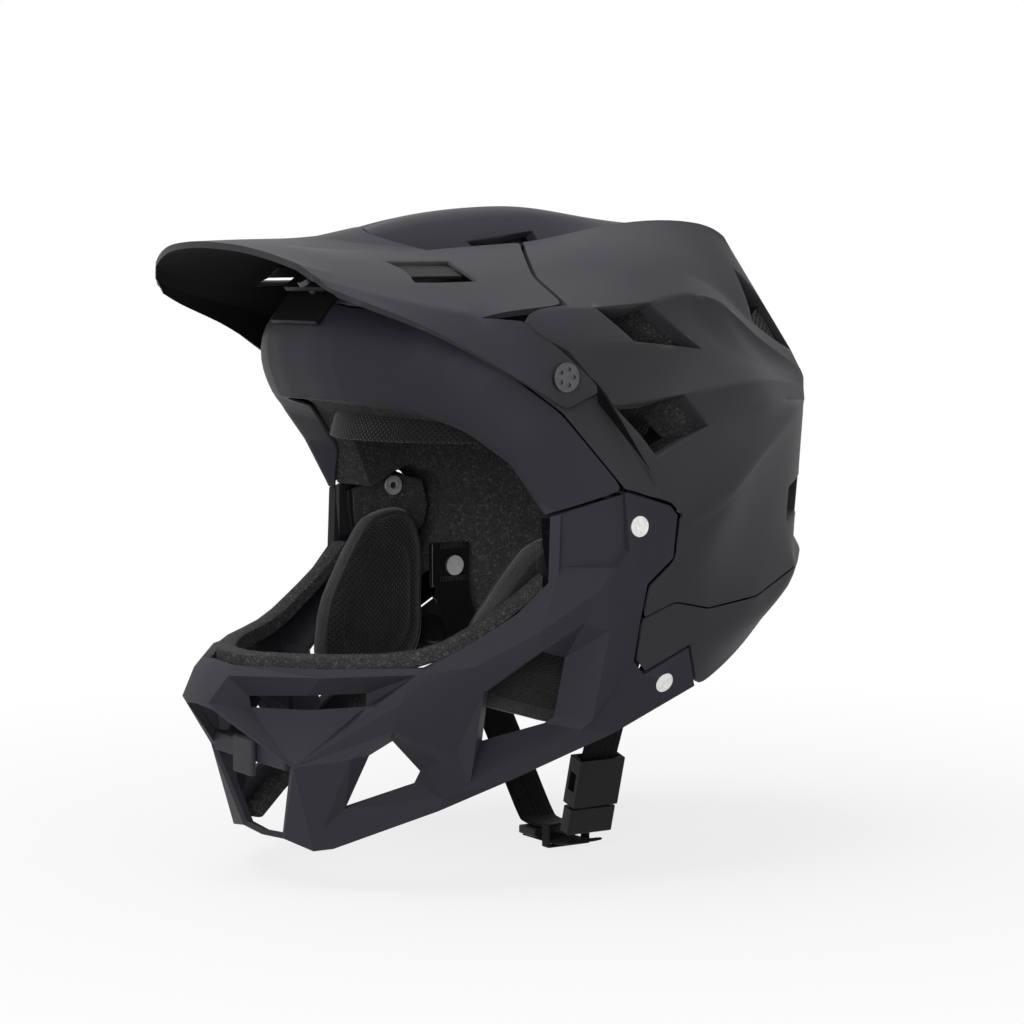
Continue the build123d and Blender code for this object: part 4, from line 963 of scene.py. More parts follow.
class RowTree:
    """A Geometry Nodes tree that runs along the edges of its object's mesh."""

    def __init__(self, name: str, *sizes: str) -> None:
        """Makes an empty tree.

        Args:
            name: The tree's name.
            sizes: The names of its sizes.
        """
        self.tree = bpy.data.node_groups.new(name, "GeometryNodeTree")
        self.sockets: dict[str, str] = {}
        for way in ("INPUT", "OUTPUT"):
            self.tree.interface.new_socket("Geometry", in_out=way, socket_type="NodeSocketGeometry")
        kinds = {**dict.fromkeys(sizes, NUMBER), "Material": "NodeSocketMaterial"}
        for socket, kind in kinds.items():
            made = self.tree.interface.new_socket(socket, in_out="INPUT", socket_type=kind)
            self.sockets[socket] = made.identifier
        self.graph = Graph(self.tree)
        self.given = self.graph.add("NodeGroupInput").outputs

    def close(self, geometry: bpy.types.NodeSocket) -> None:
        """Ends the tree: real geometry, its material, and the output."""
        smooth = self.graph.add("GeometryNodeSetShadeSmooth", {0: geometry}).outputs[0]
        real = self.graph.add("GeometryNodeRealizeInstances", {0: smooth}).outputs[0]
        painted = self.graph.add("GeometryNodeSetMaterial",
                                 {"Geometry": real, "Material": self.given["Material"]})
        self.graph.add("NodeGroupOutput", {0: painted.outputs[0]})

    def grown(self, name: str, lines: Sequence[Sequence[Sequence[float]]], finish: Finishes,
              **sizes: float) -> bpy.types.Object:
        """Runs the tree along some lines.

        Args:
            name: The new piece's name.
            lines: The lines, each a row of places in millimetres.
            finish: What the result is made of.
            sizes: The tree's sizes by their names, in millimetres.

        Returns:
            A plain mesh object.
        """
        places, edges = [], []
        for line in lines:
            start = len(places)
            places += [metres(place) for place in line]
            edges += [(start + index, start + index + 1) for index in range(len(line) - 1)]
        mesh = bpy.data.meshes.new(f"{name}_line")
        mesh.from_pydata(places, edges, [])
        rail = new_piece(f"{name}_line", mesh)
        modifier = rail.modifiers.new("grow", "NODES")
        modifier.node_group = self.tree
        for size, value in sizes.items():
            modifier[self.sockets[size.title()]] = value * MM
        modifier[self.sockets["Material"]] = finish.value.material()
        seen = bpy.context.evaluated_depsgraph_get()
        result = bpy.data.meshes.new_from_object(rail.evaluated_get(seen))
        result.name = name
        bpy.data.objects.remove(rail)
        return new_piece(name, result)


def stitch_tree() -> RowTree:
    """The tree that sews a row of stitches along a line."""
    row = RowTree("stitch_row", "Pitch", "Length", "Thread")
    graph, given = row.graph, row.given
    line = graph.add("GeometryNodeMeshToCurve", {0: given["Geometry"]}).outputs[0]
    points = graph.add("GeometryNodeResampleCurve", {"Curve": line, "Length": given["Pitch"]},
                       mode="LENGTH").outputs[0]
    bead = graph.add("GeometryNodeMeshUVSphere", {"Segments": 6, "Rings": 4, "Radius": 0.5}).outputs["Mesh"]
    way = graph.add("GeometryNodeInputTangent").outputs[0]
    turn = graph.add("FunctionNodeAlignRotationToVector", {"Vector": way}, axis="Z").outputs[0]
    size = graph.add("ShaderNodeCombineXYZ", {0: given["Thread"], 1: given["Thread"],
                                              2: given["Length"]}).outputs[0]
    placed = graph.add("GeometryNodeInstanceOnPoints", {"Points": points, "Instance": bead, "Rotation": turn,
                                                        "Scale": size}).outputs[0]
    row.close(placed)
    return row


def wire_tree() -> RowTree:
    """The tree that turns lines into round wires."""
    row = RowTree("round_wire", "Diameter")
    graph, given = row.graph, row.given
    line = graph.add("GeometryNodeMeshToCurve", {0: given["Geometry"]}).outputs[0]
    radius = graph.math("MULTIPLY", given["Diameter"], 0.5)
    ring = graph.add("GeometryNodeCurvePrimitiveCircle", {"Resolution": 6, "Radius": radius}).outputs[0]
    tube = graph.add("GeometryNodeCurveToMesh", {"Curve": line, "Profile Curve": ring,
                                                 "Fill Caps": True}).outputs[0]
    row.close(tube)
    return row


# Sub-assemblies


@dataclass
class SubAssembly:
    """Part of the helmet: it builds its pieces and gives them their finish and body.

    Attributes:
        pieces: The pieces built so far.
    """

    pieces: list[bpy.types.Object] = field(default_factory=list)

    def place(self, piece: bpy.types.Object, body: Body, finish: Finishes | None = None,
              instead_of: Sequence[str] = ()) -> bpy.types.Object:
        """Gives a piece its finish, its body and the nodes that it stands for.

        Args:
            piece: The piece.
            body: What it moves with.
            finish: What it is made of, or none if its mesh has its materials.
            instead_of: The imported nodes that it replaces.

        Returns:
            The same piece.
        """
        if finish:
            piece.data.materials.clear()
            piece.data.materials.append(finish.value.material())
        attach(piece, body.value)
        if instead_of:
            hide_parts(*instead_of)
        self.pieces.append(piece)
        log.info("%s on %s", piece.name, body.value)
        return piece

    def lay(self, piece: bpy.types.Object, body: Body, slot: str, instead_of: Sequence[str] = ()) -> None:
        """Places a piece that has its materials already."""
        self.place(piece, body, None, instead_of)

    def moulded(self, node: str, name: str, body: Body, finish: Finishes,
                moulding: Moulding) -> bpy.types.Object:
        """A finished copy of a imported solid, in its place."""
        return self.place(moulding.copy_of(node, name), body, finish, [node])


# The headform's half breadth is this share of its half length, and the head cavity's half sizes and its
# centre's height are in millimetres
NARROW = 0.8
HALF_BREADTH, HALF_LENGTH, CROWN, CENTRE = 84.0, 104.0, 103.0, 15.0


def head_place(share: Sequence[float]) -> Vector:
    """A place of the headform: shares of its half breadth, half length and height, in hundredths."""
    return Vector((share[0] * NARROW, share[1], share[2]))


SKIN_ROWS: dict[str, list[tuple[float, float, float] | None]] = {
    "crest": [(0, -121, 58), (0, -127, 83), (0, -118, 101), (0, -104, 112), (0, -91, 127), (0, -91, 134),
        (0, -55, 142), (0, -12, 145), (0, 22, 141), (0, 48, 137), (0, 74, 134), (0, 95, 129)],
    "hump": [(17, -121, 58), (17, -127, 83), (17, -118, 101), (17, -105, 111), (16, -94, 124),
        (16, -94, 131), (17, -55, 138), (19, -12, 141), (20, 22, 139), (20, 48, 137), (20, 74, 134.5),
        (20, 95, 129.5)],
    "valley": [(29, -120, 58), (29, -126, 83), (29, -117, 100), (29, -106, 107), (29, -75, 113),
        (29, -60, 116), (29, -40, 120), (30, -8, 127), (33, 22, 134.5), (34, 48, 137), (34, 74, 136),
        (33, 94, 130.5)],
    "inner_crease": [(38, -119, 58), (38, -125, 82), (37, -116, 99), (36, -98, 108), (36, -22, 121.5),
        (35, -22, 128), (35, -8, 130), (35, 8, 133), (37, 28, 136.5), (39, 52, 138.5), (40, 76, 137),
        (37.5, 92, 131)],
    "plateau": [(59, -113, 58), (61, -118, 80), (61, -109, 97), (63, -88, 104), (63, -35, 114.5),
        (65, -35, 121), (64, -14, 123.5), (63, 12, 127), (63, 36, 128), (60, 60, 125.5), (54, 88, 116),
        (36, 118, 98)],
    "outer_crease": [(78, -105, 57), (85, -108, 76), (88, -100, 92), (89, -80, 98), (88, -44, 106),
        (91, -44, 112), (90, -12, 113.5), (89.5, 12, 116), (85, 38, 114.5), (77, 64, 106), (63.5, 94, 89.5),
        (35, 136, 75)],
    "upper_vent_top": [(91, -97, 53), (100, -98, 70), (105, -90, 83), (109, -76, 87), (118, -45, 96),
        (124, -45, 100), (123, -31, 99), (113.5, 5, 101), (102.5, 32, 104), (92, 58, 100), (73.5, 90, 84),
        (35, 141, 67)],
    "tongue": [(97, -92, 50), (106, -92, 65), (112, -84, 79), (119, -79, 84), (126.5, -71, 90.5),
        (132.5, -71, 94.5), (126, -25, 93.5), (111, 21, 89.5), (99, 44, 90), (89, 66, 87.5),
        (69.5, 95, 76.5), (35, 143, 64)],
    "upper_vent_low": [(102, -88, 47), (112, -86, 60), (120, -77, 72.5), (125, -69, 76), (131, -52, 78.5),
        (137.5, -52, 80.5), (130, -13, 83), (110, 37, 79), (101, 58, 76.5), (90, 78, 72.5), (69, 105, 66.5),
        (35, 144, 61)],
    "lower_vent_top": [(116, -71, 32), (126, -66, 43), (133, -53, 53), (134.5, -48, 55), (136, -34.6, 60),
        (140.2, -33.8, 60.8), (139.5, -31, 56.5), (132.5, 14, 60), (118.5, 52, 62.5), (101.5, 78, 63.5),
        (73, 107, 61.5), (35, 144, 56.5)],
    "lower_vent_low": [(122, -55, 8), (134, -41, 13), (145, -26, 19), (145, -21, 22), (144.5, -17, 25),
        (144.5, -13, 28), (143.5, -8, 32), (130, 29, 45), (115, 57, 48.5), (97, 84, 52.5), (70.5, 110, 53),
        (36, 144, 51)],
    "tab_top": [None, None, (145, -26, 19), (145.5, -20, 17.5), (146, -14, 15.5), (147, -8, 14),
        (147.5, -2, 12), (144.5, 18, 17), (133.5, 44, 26), (114, 72, 36), (79, 110, 49), (36.5, 143, 48.5)],
    "side_crease": [None] * 6 + [(147.5, 2.5, 7), (146, 10, 0), (138, 34, 9), (121, 62, 25), (82, 108, 42),
        (37, 142.5, 45.5)],
    "tab_step": [None] * 6 + [(147.5, 0, -13), (146, 11, -12), (139.5, 27, -10), (117.5, 58.5, 0),
        (82, 105.5, 12), (41, 137, 15)],
    "tab_waist": [None] * 6 + [(146, -13, -24), (146, 5, -23), (140, 24, -24), (118.5, 58.5, -18),
        (84, 103, -8), (43.5, 133.5, -3)],
    "lower_seam": [None] * 6 + [(144, -15.5, -39), (144.5, 2, -32.5), (140, 23, -37), (124.5, 60, -35),
        (91, 104, -26), (45, 131, -14)],
    "hook": [None] * 6 + [(137.5, -15.5, -58), (135, -9, -64), (140, 13, -53), (127, 50, -50), (95, 97, -35),
        (45.5, 133, -17.5)],
    "lower_edge": [None] * 8 + [(128, 24, -74), (103, 66, -59), (65, 117, -33), (45, 135.5, -21)],
}
SKIN_NAMES = list(SKIN_ROWS)
SKIN_CREASES = ("inner_crease", "outer_crease", "upper_vent_top", "upper_vent_low", "lower_vent_top",
                "lower_vent_low", "side_crease", "lower_seam")
VENTS = {("upper_vent_top", 6): "vent_upper", ("tongue", 6): "vent_upper", ("lower_vent_top", 6): "vent_side",
         ("plateau", 10): "vent_rear", ("tab_step", 10): "vent_back", ("plateau", 3): "vent_brow",
         ("hump", 6): "vent_valley"}


@dataclass
class Shells(SubAssembly):
    """The outer shells, the foam under them and the seats of the chin bar.

    Attributes:
        skin: How the three shells of the skin are made.
        lips: The rings of each vent's lip.
        foam, small: How the foam and the seats are finished.
        rear_bulge, rear_shoulder: How the strip across the back bulges between the two sides.
        rounds: How often the skin's cells are cut in four.
        return_rings: Share of the return's width, and how proud of the foam, of each of its rings.
        return_least, return_more: Width of the return at its narrowest, and how much wider it gets, as
            shares of the way in to the cavity.
        return_beside, return_above: x and z from which it gets wider, and over how many millimetres.
        foam_back: How far a face of the foam looks outwards, 0 to 1, from which it gets a dark colour as
            painted shade.
    """

    skin: Sheet = Sheet()
    lips: tuple[Lip, ...] = (Lip(0.6, 0.5, 2.0), Lip(1.0, 3.0, 3.5), Lip(1.3, 7.0, 4.0))
    foam: Moulding = Moulding(crease=30.0, levels=0, round_over=1.0, round_from=40.0)
    small: Moulding = Moulding(crease=30.0, levels=0, round_over=0.5, round_from=35.0)
    rear_bulge: float = 3.5
    rear_shoulder: float = 0.5
    rounds: int = 2
    return_rings: Route = ((0.2, 1.0), (1.0, 1.0), (1.06, -0.6))
    return_least: float = 0.06
    return_more: float = 0.54
    return_beside: tuple[float, float] = (15.0, 50.0)
    return_above: tuple[float, float] = (-2.0, 35.0)
    foam_back: float = 0.2

    @staticmethod
    def skin_tag(row: float, column: float) -> str:
        """Which part of the skin a cell belongs to; the valley's vent is only the lower part of its cell."""
        name = SKIN_NAMES[int(row)]
        vent = VENTS.get((name, int(column)))
        if vent and not (name == "hump" and row % 1 < 0.5):
            return vent
        if name in ("lower_seam", "hook"):
            return "nape"
        return "brow" if column < 2 and row < SKIN_NAMES.index("lower_vent_low") else "crown"

    def rear(self, rows: list[Row]) -> list[Row]:
        """The strip across the back, from the centre line to the ends of the skin's rows."""
        edge = [row[-1] for row in rows[:3]]
        side = [row[-1] for row in rows[3:]]
        half, full = self.rear_shoulder, self.rear_bulge
        low = full * (1 - half * half)
        strips: list[Row] = []
        for top, share, bulge in zip(edge, (0.0, half, (1 + half) / 2), (full, low, low / 2)):
            strips.append([top] + [Vector((p.x * share, p.y + bulge, p.z)) for p in side[1:]])
        return strips + [list(side)]

    def skin_faces(self) -> Faces:
        """All faces of the skin with the part that each belongs to."""
        rows: list[Row] = [[point and head_place(point) for point in row] for row in SKIN_ROWS.values()]
        creases = {SKIN_NAMES.index(name) for name in SKIN_CREASES}
        tab_top, hook = SKIN_NAMES.index("tab_top"), SKIN_NAMES.index("hook")
        lower_start = SKIN_NAMES.index("lower_seam") - 3
        rear_creases = {max(index - 3, 0) for index in creases}
        row_corners = {tab_top: set(range(2, 7)), hook: {6, 7, 8}, hook - 1: set(range(6, 12))}
        column_corners = {6: set(range(tab_top, hook + 1)), 8: {hook}}
        skin = Patch(rows, creases, {2, 4, 5, 11}, row_corners, column_corners)
        back = Patch(self.rear(rows), {3}, rear_creases)
        faces = patched([skin, back],
                        [self.skin_tag, lambda _, column: "nape" if column >= lower_start else "crown"],
                        self.rounds)
        rim = [row[0] for row in skin.rows[:skin.finer * SKIN_NAMES.index("lower_vent_low") + 1]]
        return sunk_vents(faces + both_sides(self.returned(rim)), self.lips, "crown")

    @staticmethod
    def on_cavity(point: Vector) -> Vector:
        """The place of the head cavity's wall that a point of the skin looks at."""
        half = Vector((HALF_BREADTH, HALF_LENGTH, CROWN))
        centre = Vector((0, 0, CENTRE))
        way = point - centre
        if way.z > 0:
            reach = math.sqrt(sum((value / size) ** 2 for value, size in zip(way, half)))
            return centre + way / reach
        reach = math.hypot(way.x / half.x, way.y / half.y)
        return Vector((way.x / reach, way.y / reach, point.z))

    def return_width(self, point: Vector) -> float:
        """How wide the return is at a point of its edge: broad beside the eyes, narrow elsewhere."""
        width = self.return_more
        for reach, (start, length) in ((abs(point.x), self.return_beside), (point.z, self.return_above)):
            width *= smooth_step((reach - start) / length)
        return self.return_least + width

    def returned(self, rim: Sequence[Vector]) -> Faces:
        """The frame's return, from its front edge in over the foam's front.

        Args:
            rim: The frame's front edge, from the centre line down.

        Returns:
            The faces, tagged for the frame.
        """
        ends = [self.on_cavity(point) for point in rim]
        outs = []
        for index, point in enumerate(rim):
            along = rim[min(index + 1, len(rim) - 1)] - rim[max(index - 1, 0)]
            out = along.cross(ends[index] - point).normalized()
            if out.dot(Vector((0, -1, -0.5))) < 0:
                out.negate()
            if point.x == 0:
                out = Vector((0, out.y, out.z)).normalized()
            outs.append(out)
        rings = [list(rim)]
        for share, proud in self.return_rings:
            rings.append([point.lerp(end, share * self.return_width(point)) + out * proud
                          for point, end, out in zip(rim, ends, outs)])
        faces = []
        for outer, inner in zip(rings, rings[1:]):
            for index in range(len(rim) - 1):
                faces.append(("brow", [inner[index], inner[index + 1], outer[index + 1], outer[index]]))
        return faces

    def build(self) -> None:
        """Builds the shells, the foam and the seats."""
        faces = self.skin_faces()
        for tag, node, name, finish in (("crown", "outer_shell", "crown_shell", Finishes.SHELL),
                                        ("brow", "eyeport_frame", "brow_frame", Finishes.FACE),
                                        ("nape", "lower_shell", "nape_shell", Finishes.SHELL)):
            piece = self.place(self.skin.built(name, faces, tag), Body.HELMET, finish, [node])
            # The second material darkens the shell's inside and its deep vent walls: dark plastic and painted
            # shade.
            piece.data.materials.append(Finishes.INSIDE.value.material())
        for node, name in (("foam_liner", "foam_core"), ("side_foam", "cheek_foam")):
            foam = self.moulded(node, name, Body.HELMET, Finishes.FOAM, self.foam)
            foam.data.materials.append(Finishes.FOAM_BACK.value.material())
            # Faces of the foam that look outwards are darkened: painted shade.
            for polygon in foam.data.polygons:
                out = polygon.center - Vector((0, 0, CENTRE * MM))
                polygon.material_index = int(polygon.normal.dot(out.normalized()) > self.foam_back)
        self.moulded("chin_bar_seats", "arm_seats", Body.HELMET, Finishes.TRIM, self.small)


PEAK_ROWS: dict[str, list[tuple[float, float, float]]] = {
    "crest": [(0, -177, 128), (0, -150, 129), (0, -130, 129.5), (0, -112, 131), (0, -92, 135)],
    "hump": [(19, -176.5, 127.5), (19, -150, 128.5), (18, -130, 128), (17, -112, 128.5), (16, -95, 132)],
    "inner_crease": [(38, -174.5, 126.5), (37, -150, 126.5), (36, -127, 124.5), (36, -75, 124.5),
        (35, -23, 128)],
    "plateau": [(62, -170, 123.5), (62, -140, 121.5), (62, -110, 119.5), (63, -76, 119.5), (65, -36, 121)],
    "outer_crease": [(85, -164, 118.5), (91, -136, 112), (92.5, -109, 110), (92, -74.5, 110.5),
        (91, -45, 112)],
    "groove": [(96, -160, 113), (105, -140, 106.5), (115, -112, 100), (125, -90, 96), (132.3, -73.5, 94.5)],
    "lower_edge": [(103, -156, 107), (115, -139, 100), (122.5, -116, 90), (130, -94, 77.5)],
}
PEAK_NAMES = list(PEAK_ROWS)
ARM_ROWS = [[(125, -90, 96), (132.3, -73.5, 94.5), (137.3, -54, 80.5), (140.5, -34.5, 62.5)],
            [(130, -94, 77.5), (134, -82, 70.5), (139, -68, 62), (139.5, -54, 54)]]


@dataclass
class PeakVisor(SubAssembly):
    """The visor with its bracket, inserts and pivots.

    Attributes:
        sheet: How the visor is made from its upper side.
        lips: The rings of each vent's lip.
        groove_back: Where the side groove ends at the back.
        fitting, screw: How the bracket's parts and the screws are finished.
    """

    sheet: Sheet = Sheet(wall=2.9, gap=1.0, rim=1.1, clamp=0.0)
    lips: tuple[Lip, ...] = (Lip(0.8, 0.4, 1.0), Lip(1.6, 2.6, 2.0))
    groove_back: Point = (124, -46, 100)
    fitting: Moulding = Moulding(crease=30.0, levels=0, round_over=0.4, round_from=35.0)
    screw: Moulding = Moulding(crease=30.0, levels=0, round_over=0.22, round_from=40.0)

    def peak_faces(self) -> Faces:
        """The visor's upper side: its middle ends early, its sides run on, and an arm a side reaches down."""
        rows: list[Row] = [[head_place(point) for point in row] for row in PEAK_ROWS.values()]
        middle = [list(row) for row in rows[:3]]
        middle[2] = middle[2][:4] + [middle[2][3]]
        sides = [list(row) for row in rows[2:6]]
        sides[3] = sides[3][:4] + [head_place(self.groove_back)]
        lower = [list(row[:4]) for row in rows[5:]]
        arm: list[Row] = [[head_place(point) for point in row] for row in ARM_ROWS]

        def side_tag(row: float, column: float) -> str:
            """The tag of a cell of the visor's side."""
            cell = (PEAK_NAMES[int(row) + 2], int(column))
            return "vent_peak" if cell == ("plateau", 2) else "peak"

        def plain_tag(_: float, __: float) -> str:
            """The tag of every cell without a vent."""
            return "peak"

        patches = [Patch(middle, {2}, {3}), Patch(sides, {0, 2, 3}, {3}), Patch(lower, {0}, {3}),
                   Patch(arm, {0, 1}, {0, 1})]
        faces = patched(patches, [plain_tag, side_tag, plain_tag, plain_tag], 2)
        return sunk_vents(faces, self.lips, "peak")

    def build(self) -> None:
        """Builds the visor and what holds it."""
        peak = self.sheet.built("peak", self.peak_faces(), "peak")
        self.place(peak, Body.VISOR, Finishes.SHELL, ["visor"])
        # The second material darkens the visor's underside and its deep vent walls: dark plastic and painted
        # shade.
        peak.data.materials.append(Finishes.INSIDE.value.material())
        for node, name, body, finish, moulding in (
                ("visor_bracket", "peak_bracket", Body.VISOR, Finishes.TRIM, self.fitting),
                ("visor_vent_inserts", "peak_vent_floors", Body.VISOR, Finishes.TRIM, self.fitting),
                ("brow_receiver", "brow_receiver_plate", Body.HELMET, Finishes.TRIM, self.fitting),
                ("visor_pivot_bosses", "pivot_bosses", Body.HELMET, Finishes.TRIM, self.fitting),
                ("visor_pivot_screws", "pivot_screws", Body.HELMET, Finishes.SCREW, self.screw),
                ("visor_bracket_screw", "bracket_screw", Body.HELMET, Finishes.SCREW, self.screw)):
            self.moulded(node, name, body, finish, moulding)


@dataclass
class ChinBar(SubAssembly):
    """The removable chin bar with its liners, crossbar, studs and buttons."""

    guard: Moulding = Moulding(crease=14.0, levels=0, round_over=0.8, round_from=18.0)
    liner: Moulding = Moulding(crease=40.0, levels=1, round_over=0.8, round_from=50.0)
    bar: Moulding = Moulding(crease=30.0, levels=0, round_over=0.9, round_from=35.0)
    turned: Moulding = Moulding(crease=30.0, levels=0, round_over=0.35, round_from=40.0)

    def build(self) -> None:
        """Builds the chin bar and what is on it."""
        for node, name, body, finish, moulding in (
                ("chin_bar_shell", "chin_guard", Body.CHIN_BAR, Finishes.FACE, self.guard),
                ("chin_bar_rim_liner", "rim_foam", Body.CHIN_BAR, Finishes.FOAM, self.liner),
                ("chin_bar_edge_liner", "edge_foam", Body.CHIN_BAR, Finishes.FOAM, self.liner),
                ("chin_crossbar", "front_crossbar", Body.CHIN_BAR, Finishes.FACE, self.bar),
                ("crossbar_clip", "crossbar_clip_plate", Body.CHIN_BAR, Finishes.SHELL, self.bar),
                ("locating_studs", "bright_studs", Body.CHIN_BAR, Finishes.STUD, self.turned),
                ("stud_collars", "stud_collar_rings", Body.CHIN_BAR, Finishes.TRIM, self.turned),
                ("button_housings", "button_cups", Body.CHIN_BAR, Finishes.TRIM, self.turned),
                ("release_button_left", "bright_button_left", Body.BUTTON_LEFT, Finishes.STUD, self.turned),
                ("release_button_right", "bright_button_right", Body.BUTTON_RIGHT, Finishes.STUD,
                 self.turned)):
            self.moulded(node, name, body, finish, moulding)


@dataclass
class VentGrilles(SubAssembly):
    """Wire grilles behind the rear vents.

    Attributes:
        cell: Width of one opening, in millimetres.
        wire: Diameter of a wire, in millimetres.
        rim: Diameter of the rim wire, in millimetres.
    """

    cell: float = 3.2
    wire: float = 0.8
    rim: float = 1.7

    def outlines(self) -> list[list[Vector]]:
        """The corners of each grille plate's middle sheet, in metres."""
        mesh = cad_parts["rear_vent_grilles"].data
        work = bmesh.new()
        work.from_mesh(mesh)
        bmesh.ops.remove_doubles(work, verts=work.verts, dist=WELD)
        bmesh.ops.dissolve_limit(work, angle_limit=math.radians(2), verts=work.verts, edges=work.edges)
        faces = sorted(work.faces, key=lambda face: -face.calc_area())[:4]
        sheets = []
        for side in (-1, 1):
            pair = [face for face in faces if face.calc_center_median().x * side > 0]
            outer = max(pair, key=lambda face: face.normal.dot(face.calc_center_median()))
            inner = next(face for face in pair if face is not outer)
            depth = (outer.calc_center_median() - inner.calc_center_median()).dot(outer.normal)
            sheets.append([vertex.co - outer.normal * depth / 2 for vertex in outer.verts])
        work.free()
        return sheets

    def lattice(self, outline: list[Vector]) -> list[list[Vector]]:
        """Crossing lines inside a flat outline.

        Args:
            outline: The corners of a flat shape, in metres.

        Returns:
            The lines, in millimetres.
        """
        middle = mean(outline)
        normal = Vector()
        for index, corner in enumerate(outline):
            normal += (corner - middle).cross(outline[(index + 1) % len(outline)] - middle)
        normal.normalize()
        longest = max((outline[i] - outline[i - 1] for i in range(len(outline))),
                      key=lambda side: side.length)
        lines = []
        for turn in (math.radians(45), math.radians(-45)):
            way = longest.normalized()
            aside = normal.cross(way)
            way, aside = (way * math.cos(turn) + aside * math.sin(turn),
                          aside * math.cos(turn) - way * math.sin(turn))
            reach = [(corner - middle).dot(aside) for corner in outline]
            step = self.cell * MM
            count = int((max(reach) - min(reach)) / step)
            for index in range(1, count + 1):
                level = min(reach) + index * step
                cuts = []
                for start, end in zip(outline, outline[1:] + outline[:1]):
                    a, b = (start - middle).dot(aside) - level, (end - middle).dot(aside) - level
                    if a * b < 0:
                        cuts.append(start.lerp(end, a / (a - b)))
                if len(cuts) == 2:
                    lines.append([cut / MM for cut in cuts])
        return lines

    def build(self, wires: RowTree) -> None:
        """Builds both grilles.

        Args:
            wires: The tree that makes round wires.
        """
        for side, outline in zip((-1, 1), self.outlines()):
            name = mirror_name("rear_grille", side)
            rim = [corner / MM for corner in outline + outline[:1]]
            for piece in (
                    wires.grown(name, self.lattice(outline), Finishes.GRILLE, diameter=self.wire),
                    wires.grown(f"{name}_rim", [rim], Finishes.TRIM, diameter=self.rim)):
                self.lay(piece, Body.HELMET, "grille_mesh", ["rear_vent_grilles"])


# Padded goods


@dataclass(frozen=True)
class Stitch:
    """Sizes of a row of stitches, in millimetres.

    Attributes:
        pitch: Distance between two stitches.
        length: Length of one.
        thread: Its thickness.
    """

    pitch: float
    length: float
    thread: float

    def sewn(self, tree: RowTree, name: str, line: Sequence[Sequence[float]],
             finish: Finishes = Finishes.THREAD) -> bpy.types.Object:
        """Sews a row along a line with the tree that sews."""
        return tree.grown(name, [line], finish, pitch=self.pitch, length=self.length, thread=self.thread)


def swollen(piece: bpy.types.Object, sewn: Sequence[int], pressure: float, cap: float, frames: int) -> None:
    """Lets the cloth of a pad swell round its filling.

    Args:
        piece: The pad, a closed mesh without modifiers.
        sewn: The corners that seams and glue hold in place.
        pressure: The filling's pressure.
        cap: The farthest that a point may move, in millimetres.
        frames: How many frames the cloth runs.
    """
    group = piece.vertex_groups.new(name="sewn")
    group.add(list(sewn), 1.0, "REPLACE")
    cloth = piece.modifiers.new("swell", "CLOTH")
    cloth.settings.quality = 5
    cloth.settings.mass = 0.12
    cloth.settings.use_pressure = True
    cloth.settings.uniform_pressure_force = pressure
    cloth.settings.effector_weights.gravity = 0
    cloth.settings.vertex_group_mass = group.name
    scene = bpy.context.scene
    for number in range(1, frames + 1):
        scene.frame_set(number)
    seen = bpy.context.evaluated_depsgraph_get()
    after = [vertex.co.copy() for vertex in piece.evaluated_get(seen).data.vertices]
    piece.modifiers.remove(cloth)
    scene.frame_set(1)
    for vertex, place in zip(piece.data.vertices, after):
        move = place - vertex.co
        if move.length > cap * MM:
            move = move.normalized() * cap * MM
        vertex.co = vertex.co + move
    piece.data.update()


class Wall(Enum):
    """Which way a thin pad lies on the head cavity."""

    ROUND = "round the head"
    OVER = "over the crown"


@dataclass(frozen=True)
class ThinPad:
    """A thin comfort pad.

    Attributes:
        name: The piece's name.
        node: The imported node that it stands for.
        wall: Which way it lies.
        first, last: Its ends along its length, in degrees.
        low, high: Its sides: degrees up, or millimetres across for a pad over the crown.
        clearance: How far it is from the cavity's wall, in millimetres.
        channels: Where sewn channels cross it, as shares of its length from -1 to 1.
    """

    name: str
    node: str
    wall: Wall
    first: float
    last: float
    low: float
    high: float
    clearance: float
    channels: tuple[float, ...] = ()


